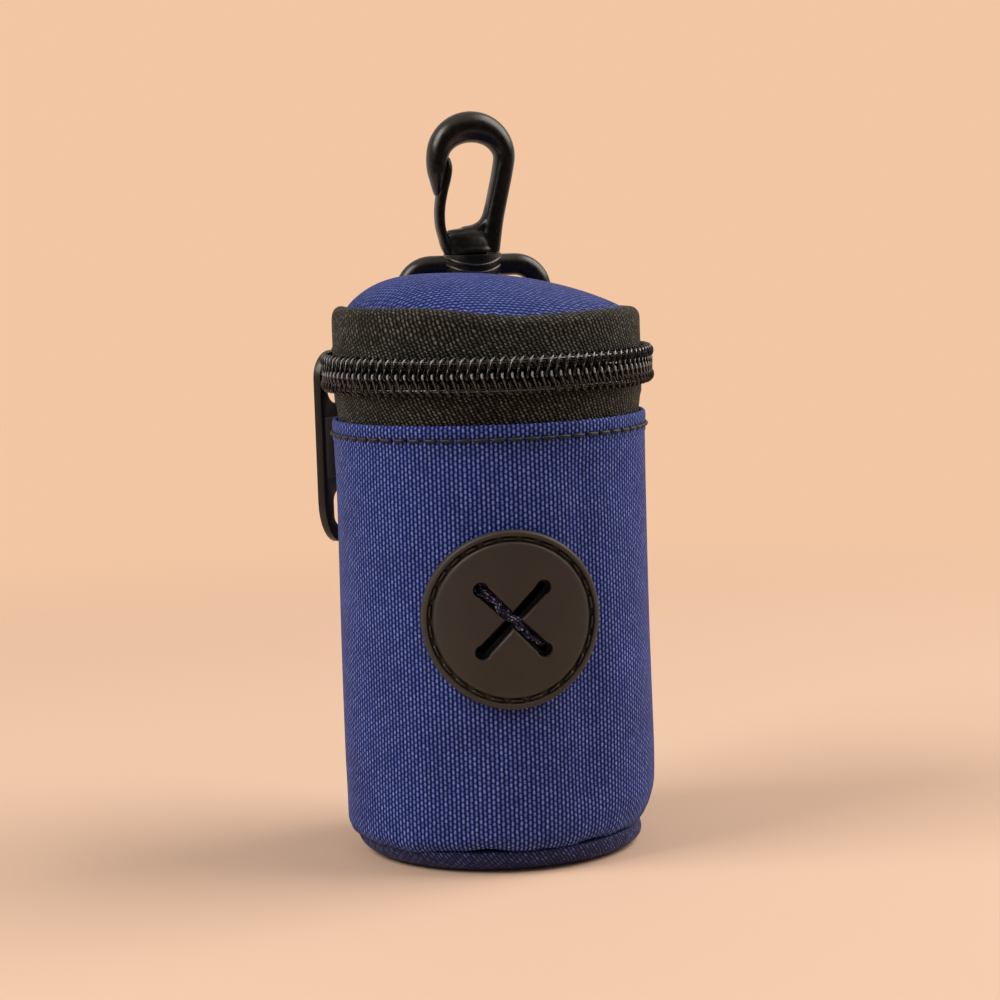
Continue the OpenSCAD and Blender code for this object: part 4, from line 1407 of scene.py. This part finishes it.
@dataclass
class Lid:
    """Quilted dome, its lining, and the cloth hinge at the back.

    Its lengths are in millimetres, and hinge_from and hinge_to are angles in degrees.
    """

    finishes: Finishes
    body: str = "lid"
    hinge_bend: float = 2.6
    hinge_from: float = 50.5
    hinge_to: float = 129.5
    fold_z: float = 74.5

    @staticmethod
    def crown(x: np.ndarray, y: np.ndarray) -> np.ndarray:
        """Give the height of the dome, which is fullest on the left.

        Args:
            x: Place to the right in millimetres.
            y: Place to the back in millimetres.

        Returns:
            Height in millimetres.
        """
        peak = 7.0
        right = x + peak
        away = np.maximum(np.hypot(right, y), 1e-6)
        lean = -peak * right / away
        rim = np.sqrt(lean**2 - peak**2 + S.lid_r**2) - lean
        share = np.clip(away / rim, 0, 1)
        full = 2.4 - 0.52 * right / away + 0.22 * (right / away) ** 2
        seam = S.lid_z + lid_rise(np.arctan2(rim * y / away, rim * right / away - peak))
        return seam + (S.lid_top + 0.7 - seam) * (1 - share**full) ** 0.9

    def dome(self) -> None:
        """Make the dome's cloth as a closed sheet over its foam."""
        count, rings, fine = 200, 46, 12
        turn = np.linspace(0, 2 * math.pi, count, endpoint=False)
        shares = np.concatenate([np.linspace(0.02, 0.9, rings - fine), np.linspace(0.91, 1.0, fine)])
        radius = S.lid_r * shares
        r, t = np.meshgrid(radius[::-1], turn, indexing="ij")
        x, y = r * np.cos(t), r * np.sin(t)
        share = r / S.lid_r
        gather = (0.5 + 0.5 * np.cos(t * 56 + 1.1 * np.sin(t * 4))) ** 2
        pucker = -0.22 * gather * step(share, 0.86, 0.97)
        soft = ripple(t, r, [(0.05, 3, 0.03, 0.3), (0.05, 5, 0.05, 2.2)]) * share
        height = self.crown(x, y) + np.minimum(pucker + soft, 0.0)
        around = np.concatenate([t, t[:, :1] + 2 * math.pi], 1)
        across = np.concatenate([r, r[:, :1]], 1)
        cloth = np.stack([across * np.sin(around) * 1.06, across * np.cos(around)], -1)
        points = np.stack([x, y, height], -1)
        piece = grid_object("lid_cloth", points, cloth, closed=True)
        self.close_top(piece, count)
        thicken(piece, 0.5)
        crease(piece, 60)
        settle(piece, self.finishes["oxford_lid"], "navy_oxford", "lid_panel", body=self.body)

    @staticmethod
    def close_top(piece: Piece, count: int) -> None:
        """Close the small round hole at the dome's top.

        Args:
            piece: The dome, whose last ring of vertices runs round the hole.
            count: Vertices in that ring.
        """
        with editing(piece) as mesh:
            layer = mesh.loops.layers.uv.active
            face = mesh.faces.new(list(mesh.verts)[-count:])
            face.smooth = True
            for loop in face.loops:
                loop[layer].uv = (loop.vert.co.y / MM, loop.vert.co.x / MM)

    def hinge(self) -> None:
        """Make the plain cloth panel that the lid folds on."""
        r, bend = S.tape_r, self.hinge_bend
        centre = (r - bend, S.lid_z - bend)
        tuck_r, low = S.pouch_r - S.tuck, S.hem_top + 0.3
        foot = [(tuck_r, low - 2.3), (tuck_r, low), (r, low + 1.4)]
        outer = arc(centre, bend, np.radians(np.linspace(0, 88, 11)))
        inner = arc(centre, bend - S.cloth, np.radians(np.linspace(88, 0, 8)))
        heel = [(radius - S.cloth, z) for radius, z in reversed(foot)]

        def shape(turn: np.ndarray, r: np.ndarray, z: np.ndarray) -> Pair:
            """Give the panel the dent of its fold and a limp face.

            Args:
                turn: Angle in radians.
                r: Radius in millimetres.
                z: Height in millimetres.

            Returns:
                Offsets outwards and up.
            """
            limp = np.minimum(ripple(turn, z, [(0.08, 11, 0.06, 0.5)]), 0)
            return limp - 0.3 * bell(z - self.fold_z, 1.3), 0.0 * r

        profile = outline(*foot, *outer, *inner, *heel)
        piece = lathe("hinge_cloth", profile, self.hinge_from, self.hinge_to, 120, shape)
        crease(piece, 60)
        settle(piece, self.finishes["oxford"], "navy_oxford", "back_panel")
        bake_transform(piece)

    def build(self) -> None:
        """Build every piece of the lid."""
        self.dome()
        self.hinge()
        dress("lid_foam", self.finishes["foam"])
        dress("lid_lining", self.finishes["lining_flat"])
        dress("lid_binding", self.finishes["binding"])


# ---------------------------------------------------------------- webbing


@dataclass
class Tab:
    """Folded webbing that holds the loop to the lid's back edge, with lengths in millimetres."""

    finishes: Finishes
    wide: float = 17.2
    thick: float = 1.0
    bar_y: float = 28.5
    bar_z: float = 81.0
    bar_r: float = 1.95
    wall_r: float = 24.82
    columns: int = 25

    def build(self) -> None:
        """Build the webbing: sewn flat on the lid's wall, then folded round the loop's bar."""
        low_end, high_end = ends("loop_tab")
        centre = (low_end[0] + high_end[0]) / 2
        mid = self.bar_r + self.thick / 2
        top = [(24.5, 85.05), (25.6, 84.95), (26.7, 84.3)]
        fold = arc((self.bar_y, self.bar_z), mid, np.radians(np.linspace(105, -150, 27)))
        low = [(26.3, 82.2), (25.5, 82.9), (24.5, 83.2)]
        path = np.array(top + fold + low)
        along = headings(path)
        normal = np.stack([-along[:, 1], along[:, 0]], 1)
        outside = path + normal * self.thick / 2
        inside = path - normal * self.thick / 2
        ring = np.vstack([outside, inside[::-1], outside[:1]])
        across = np.linspace(-self.wide / 2, self.wide / 2, self.columns)
        wall = np.sqrt(self.wall_r**2 - (across + centre) ** 2)
        points = np.zeros((len(ring), self.columns, 3))
        for i, (y, z) in enumerate(ring):
            hug = np.maximum(y, wall)
            keep = np.where(y < 26.2, np.clip(wall + (y - 24.5), wall, hug), y)
            points[i] = np.stack([across + centre, keep, np.full(self.columns, z)], 1)
        u, v = np.meshgrid(across, run_length(ring), indexing="xy")
        piece = grid_object("webbing_tab", points[:, ::-1], np.stack([u, v], -1)[:, ::-1])
        with editing(piece) as mesh:
            bmesh.ops.remove_doubles(mesh, verts=mesh.verts, dist=0.001 * MM)
            bmesh.ops.holes_fill(mesh, edges=[edge for edge in mesh.edges if edge.is_boundary], sides=0)
            bmesh.ops.recalc_face_normals(mesh, faces=mesh.faces)
        crease(piece, 60)
        settle(piece, self.finishes["webbing"], "webbing", "loop_tab", body="lid")


# ---------------------------------------------------------------- hardware


Station = tuple[float, float, float, float, float]


@dataclass
class Hardware:
    """Slider, puller, swivel loop and snap hook.

    A bar of the hook is a list of stations: across, up, half thickness, half depth and roundness. Each of the
    hook's solids is round: low end, high end, radius at each, and depth as a share of width. Lengths are in
    millimetres, and turned is the hook's turn in its collar, in degrees.
    """

    finishes: Finishes
    turned: float = 7.0
    collar_top: float = 14.25
    eye_z: float = 15.5
    melt_step: float = 0.17
    bead_r: float = 4.76
    bead_thick: float = 0.34
    bead_dip: float = 1.3
    bead_levels: tuple[float, ...] = (-0.5, -1.75)
    solids: tuple[Station, ...] = (
        (0.2, 0.9, 4.5, 4.4, 0.72),
        (-4.1, 1.0, 2.3, 2.3, 1.0),
        (-5.7, -4.1, 3.6, 3.6, 1.0),
    )
    spine: tuple[Station, ...] = (
        (2.85, 0.2, 1.8, 2.5, 0.72),
        (3.0, 1.6, 1.85, 2.4, 0.7),
        (3.75, 5.6, 1.72, 2.3, 0.7),
        (4.68, 9.6, 1.68, 2.3, 0.72),
        (5.55, 13.4, 1.72, 2.4, 0.8),
    )
    nose: tuple[Station, ...] = (
        (-5.72, 14.2, 1.66, 2.5, 1.0),
        (-5.72, 12.6, 1.28, 2.2, 1.0),
        (-5.75, 11.2, 0.9, 1.75, 1.0),
        (-5.8, 10.2, 0.55, 1.2, 1.0),
        (-5.8, 9.75, 0.2, 0.5, 1.0),
    )
    base: tuple[Station, ...] = (
        (-0.2, 0.1, 4.3, 3.1, 1.0),
        (-0.25, 0.9, 4.5, 3.05, 1.0),
        (-0.4, 1.7, 4.65, 2.8, 1.0),
        (-0.5, 2.5, 4.75, 2.5, 1.0),
        (-0.5, 3.2, 4.7, 2.2, 0.95),
        (-0.5, 3.8, 4.5, 1.9, 0.95),
        (-0.55, 4.4, 3.5, 1.4, 1.0),
    )
    fillet: tuple[Station, ...] = (
        (3.4, 8.0, 0.9, 1.5, 1.0),
        (2.5, 5.4, 0.95, 1.7, 1.0),
        (0.8, 4.1, 0.95, 1.7, 1.0),
        (-1.5, 3.7, 0.9, 1.7, 1.0),
    )
    leaf: tuple[Station, ...] = (
        (-3.9, 0.4, 1.0, 1.7, 1.0),
        (-4.5, 1.5, 0.95, 1.7, 0.85),
        (-5.0, 3.0, 0.8, 1.7, 0.75),
        (-5.4, 4.8, 0.8, 1.7, 0.7),
        (-5.48, 6.8, 0.82, 1.7, 0.7),
        (-5.3, 8.8, 0.86, 1.7, 0.7),
        (-4.85, 11.0, 0.92, 1.7, 0.75),
        (-4.3, 13.0, 0.97, 1.6, 0.85),
        (-3.95, 14.6, 0.9, 1.5, 1.0),
        (-3.95, 16.0, 0.6, 1.1, 1.0),
        (-3.95, 16.5, 0.2, 0.4, 1.0),
    )

    def build(self) -> None:
        """Build every hard piece."""
        slider = refined("slider_body", "slider_enamelled", 0.22)
        settle(slider, self.finishes["enamel"], "slider_enamel", "slider_body", body="slider")
        puller = refined("puller", "puller_enamelled", 0.3, 25)
        settle(puller, self.finishes["enamel"], "puller_enamel", "puller", body="puller")
        loop = refined("swivel_loop", "swivel_loop_moulded", 0.3)
        settle(loop, self.finishes["acetal"], "hook_plastic", "swivel_loop", body="loop")
        self.beads()
        self.hook()
        self.gate()

    def hook_frame(self) -> Matrix:
        """Give the hook's own frame: x across it, y through it, z up from the collar's top, in millimetres.

        Returns:
            The frame, from the hook's place to the shared one.
        """
        pin = next(joint for joint in frame["joints"] if joint["name"] == "hook_swivel")
        upward = Vector(pin["axis"]).normalized()
        across = Matrix.Rotation(math.radians(self.turned), 3, upward) @ Vector((1, 0, 0))
        made = Matrix((across, upward.cross(across), upward)).transposed().to_4x4()
        made.translation = Vector(pin["pos_m"]) / MM + upward * self.collar_top
        return made

    def placed(self, local: np.ndarray) -> np.ndarray:
        """Move points from the hook's own frame to the shared one, in millimetres."""
        place = np.array(self.hook_frame())
        return local @ place[:3, :3].T + place[:3, 3]

    def loft(self, stations: Sequence[Station], sides: int = 28) -> tuple[np.ndarray, Faces]:
        """Sweep a bar along a curve in the hook's plane, its section between an oval and a rounded block.

        Args:
            stations: Across, up, half thickness, half depth and roundness at each point, 1 for an oval.
            sides: Corners of the section.

        Returns:
            Vertices in the shared frame, in millimetres, and faces.
        """
        table = np.array(stations, float)
        knots = np.linspace(0, 1, len(table))
        fine = np.linspace(0, 1, 6 * len(table))
        table = np.stack([self.curve(knots, table[:, i], fine) for i in range(5)], 1)
        turn = np.linspace(0, 2 * math.pi, sides, endpoint=False)
        across, through = np.cos(turn), np.sin(turn)
        rings = []
        for (u, w, half, deep, oval), (du, dw) in zip(table, headings(table[:, :2])):
            side = half * np.sign(across) * np.abs(across) ** oval
            depth = deep * np.sign(through) * np.abs(through) ** oval
            rings.append(np.stack([u + side * dw, depth, w - side * du], 1))
        return self.placed(np.concatenate(rings)), sleeve(len(table), sides, inward=True)

    @staticmethod
    def curve(knots: np.ndarray, values: np.ndarray, fine: np.ndarray) -> np.ndarray:
        """Run a smooth curve through values with averaged slopes.

        Args:
            knots: Where the values lie, rising.
            values: Value at each knot.
            fine: Where the curve is read.

        Returns:
            The curve's value at each of those places.
        """
        slope = np.gradient(values, knots)
        spot = np.clip(np.searchsorted(knots, fine, side="right") - 1, 0, len(knots) - 2)
        gap = knots[spot + 1] - knots[spot]
        t = (fine - knots[spot]) / gap
        a, b = values[spot], values[spot + 1]
        near = (2 * t**3 - 3 * t**2 + 1) * a + (t**3 - 2 * t**2 + t) * gap * slope[spot]
        return near + (3 * t**2 - 2 * t**3) * b + (t**3 - t**2) * gap * slope[spot + 1]

    def crown(self) -> list[Station]:
        """Give the stations over the hook's eye, thickest at the top."""
        made = []
        for a in np.radians(np.linspace(8, 172, 9)):
            half = 1.78 + 0.87 * math.sin(a) ** 1.4
            reach = 7.58 + 0.9 * math.sin(a) - half
            made.append((0.18 + reach * math.cos(a), self.eye_z + reach * math.sin(a), half, 2.55, 1.0))
        return made

    def hook(self) -> None:
        """Melt spine, crown, nose, base, fillet and stem into one moulded body."""
        made = mesh_object("hook_moulded", np.zeros((0, 3)), [])
        place = self.hook_frame()
        place.translation *= MM
        with editing(made) as mesh:
            for stations in ([*self.spine, *self.crown(), *self.nose], self.base, self.fillet):
                part = mesh_object("hook_part", *self.loft(stations))
                mesh.from_mesh(part.data)
                discard(part)
            for low, high, foot, top, squash in self.solids:
                lift = Matrix.Translation((0, 0, (low + high) / 2 * MM))
                bmesh.ops.create_cone(
                    mesh,
                    cap_ends=True,
                    segments=48,
                    radius1=foot * MM,
                    radius2=top * MM,
                    depth=(high - low) * MM,
                    matrix=place @ lift @ Matrix.Diagonal((1, squash, 1, 1)),
                )
            bmesh.ops.recalc_face_normals(mesh, faces=mesh.faces)
        melt = made.modifiers.new("melt", "REMESH")
        melt.mode = "VOXEL"
        melt.voxel_size = self.melt_step * MM
        melt.use_smooth_shade = True
        smooth = made.modifiers.new("smooth", "SMOOTH")
        smooth.factor = 0.5
        smooth.iterations = 14
        bake(made)
        made.data.shade_smooth()
        settle(made, self.finishes["acetal"], "hook_plastic", "hook_body", body="hook")

    def beads(self) -> None:
        """Make the two thin beads moulded round the loop's collar."""
        turn = np.linspace(0, 2 * math.pi, 61)
        verts, faces = [], []
        for level in self.bead_levels:
            dip = level - self.bead_dip * np.sin(turn) ** 2
            ring = np.stack([self.bead_r * np.cos(turn), self.bead_r * np.sin(turn), dip], 1)
            points, sides = tube(self.placed(ring), [self.bead_thick] * len(turn), 8)
            first = sum(len(v) for v in verts)
            faces += [[first + k for k in side] for side in sides]
            verts.append(points)
        made = mesh_object("collar_beads", np.concatenate(verts), faces)
        settle(made, self.finishes["acetal"], "hook_plastic", body="loop")

    def gate(self) -> None:
        """Make the sprung leaf that grows out of the hook's base."""
        made = mesh_object("gate_leaf", *self.loft(self.leaf))
        settle(made, self.finishes["acetal"], "hook_plastic", "hook_gate")
        place = self.hook_frame()
        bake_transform(made)


# ---------------------------------------------------------------- bag roll


@dataclass
class Roll:
    """Roll of bags on its card core, whose radius in millimetres is the film's hole."""

    finishes: Finishes
    hole: float = 6.55

    def build(self) -> None:
        """Build the roll's film and dress its core."""
        low, high = ends("bag_roll")
        wide, foot, top = high[0], low[2], high[2]
        face = wide - 0.1
        outer = [(wide - 0.5, foot), (face, foot + 0.4)]
        outer += [(face, z) for z in np.linspace(foot + 3, top - 3, 14)]
        outer += [(face, top - 0.4), (wide - 0.5, top)]
        above = [(r, top) for r in np.linspace(wide - 1.2, self.hole, 40)]
        under = [(r, foot) for r in np.linspace(self.hole, wide - 1.2, 12)]

        def shape(turn: np.ndarray, r: np.ndarray, z: np.ndarray) -> Pair:
            """Wind the top end in a spiral, and leave the outermost turn a little loose.

            Args:
                turn: Angle in radians.
                r: Radius in millimetres.
                z: Height in millimetres.

            Returns:
                Offsets outwards and up.
            """
            end = np.where(z > top - 0.2, 1.0, 0.0) * step(r, 6.8, 7.6) * (1 - step(r, wide - 1, wide - 0.5))
            layers = -0.22 * (0.5 + 0.5 * np.sin(r * 5.2 - turn)) * end
            loose = -0.14 * (0.5 + 0.5 * np.sin(turn * 3 + z * 0.12)) * step(r, wide - 0.7, wide - 0.15)
            return loose, layers

        piece = lathe("bag_roll_film", np.array(outer + above + under), 0, 360, 160, shape, 18.0)
        crease(piece, 50)
        settle(piece, self.finishes["film"], "bag_film", "bag_roll", body="roll")
        dress("roll_core", self.finishes["card"])


# ---------------------------------------------------------------- stage


@dataclass(frozen=True)
class Studio:
    """Pale floor, soft lights and the camera.

    The camera stands away from the upright axis at a turn round it, high above the floor, in metres and
    degrees. It then turns by yaw, looks down and rolls, in degrees.
    """

    floor: str = "#d4b8a2"
    sky: str = "#f2c6a3"
    felt: str = "#f1e0d6"
    mirrored: str = "#efdccd"
    aim: tuple[float, float, float] = (0, 0, 0.05)
    away: float = 0.4253
    camera_turn: float = -6.0
    high: float = 0.1022
    yaw: float = -0.185
    down: float = 6.218
    roll: float = -1.863
    lens_mm: float = 95.36
    sensor_mm: float = 36

    def floor_disc(self) -> None:
        """Lay a wide floor that fades into the surroundings."""
        just_under = (0, 0, -0.00005)
        bpy.ops.mesh.primitive_circle_add(vertices=96, radius=3.0, fill_type="NGON", location=just_under)
        disc = bpy.context.object
        disc.name = "floor"
        made, tree, bsdf = new_material("painted_table")
        bsdf.inputs["Base Color"].default_value = linear(self.floor)
        bsdf.inputs["Roughness"].default_value = 0.75
        bsdf.inputs["Specular IOR Level"].default_value = 0.2
        place = add(tree, PLACE)
        reach = add(tree, VECTOR, {0: place.outputs["Object"]}, operation="LENGTH").outputs["Value"]
        fade = add(tree, RANGE, {0: reach, 1: 0.12, 2: 0.42}, interpolation_type="SMOOTHSTEP")
        clear = add(tree, "ShaderNodeBsdfTransparent")
        mix = add(tree, "ShaderNodeMixShader", {0: fade, 1: bsdf, 2: clear})
        tree.links.new(mix.outputs[0], tree.nodes["Material Output"].inputs["Surface"])
        disc.data.materials.append(made)

    def light(self, name: str, place: Sequence[float], size: float, power: float, tint: str) -> None:
        """Hang a soft square light aimed at the pouch.

        Args:
            name: Name of the light.
            place: Where it hangs, in metres.
            size: Side of the square in metres.
            power: Power in watts.
            tint: Its colour.
        """
        lamp = bpy.data.lights.new(name, "AREA")
        lamp.size = size
        lamp.energy = power
        lamp.color = linear(tint)[:3]
        held = bpy.data.objects.new(name, lamp)
        held.location = place
        held.rotation_euler = (Vector(self.aim) - Vector(place)).to_track_quat("-Z", "Y").to_euler()
        bpy.context.scene.collection.objects.link(held)

    def surroundings(self) -> None:
        """Fill the space with soft warm light, brighter behind and above for what mirrors it."""
        world = bpy.data.worlds.new("room")
        world.use_nodes = True
        tree = world.node_tree
        seen = add(tree, "ShaderNodeBackground", {"Color": linear(self.sky), "Strength": 1.0})
        felt = add(tree, "ShaderNodeBackground", {"Color": linear(self.felt), "Strength": 0.34})
        around = add(tree, PLACE)
        parts = add(tree, PARTS, {0: around.outputs["Generated"]})
        behind = add(tree, RANGE, {0: parts.outputs["Y"], 1: -0.35, 2: 0.55, 3: 0.05, 4: 0.85})
        above = add(tree, RANGE, {0: parts.outputs["Z"], 1: 0.55, 2: 0.95, 3: 0.0, 4: 1.0})
        bright = add(tree, MATH, {0: behind, 1: above}, operation="MAXIMUM")
        mirrored = add(tree, "ShaderNodeBackground", {"Color": linear(self.mirrored), "Strength": bright})
        path = add(tree, "ShaderNodeLightPath")
        lit = add(tree, "ShaderNodeMixShader", {0: path.outputs["Is Glossy Ray"], 1: felt, 2: mirrored})
        mix = add(tree, "ShaderNodeMixShader", {0: path.outputs["Is Camera Ray"], 1: lit, 2: seen})
        tree.links.new(mix.outputs[0], tree.nodes["World Output"].inputs["Surface"])
        bpy.context.scene.world = world

    def camera(self) -> None:
        """Set the camera in front, a little to the left and above."""
        turn, down, roll = math.radians(self.camera_turn), math.radians(self.down), math.radians(self.roll)
        heading = turn + math.radians(self.yaw)
        level = math.cos(down)
        ahead = Vector((-math.sin(heading) * level, math.cos(heading) * level, -math.sin(down)))
        right = Vector((math.cos(heading), math.sin(heading), 0))
        up = right.cross(ahead)
        tilted = right * math.cos(roll) + up * math.sin(roll)
        over = up * math.cos(roll) - right * math.sin(roll)
        lens = bpy.data.cameras.new("camera")
        lens.lens = self.lens_mm
        lens.sensor_width = self.sensor_mm
        lens.clip_start = 0.01
        held = bpy.data.objects.new("camera", lens)
        held.matrix_world = Matrix((tilted, over, -ahead)).transposed().to_4x4()
        held.location = (self.away * math.sin(turn), -self.away * math.cos(turn), self.high)
        bpy.context.scene.collection.objects.link(held)
        bpy.context.scene.camera = held

    def build(self) -> None:
        """Set the stage."""
        self.floor_disc()
        self.light("key_left", (-0.62, -0.2, 0.6), 0.5, 6.0, "#fff6ee")
        self.light("fill_right", (0.64, 0.02, 0.66), 0.75, 8.9, "#fff4ea")
        self.surroundings()
        self.camera()
        bpy.context.scene.view_settings.view_transform = "Standard"


def main() -> None:
    """Build the scene."""
    logging.basicConfig(level=logging.INFO, format="%(message)s")
    made = {name: finish.material() for name, finish in FINISHES.items()}
    for part in (Pouch, Zip, Lid, Tab, Hardware, Roll):
        part(made).build()
    Studio().build()


if __name__ == "__main__":
    main()
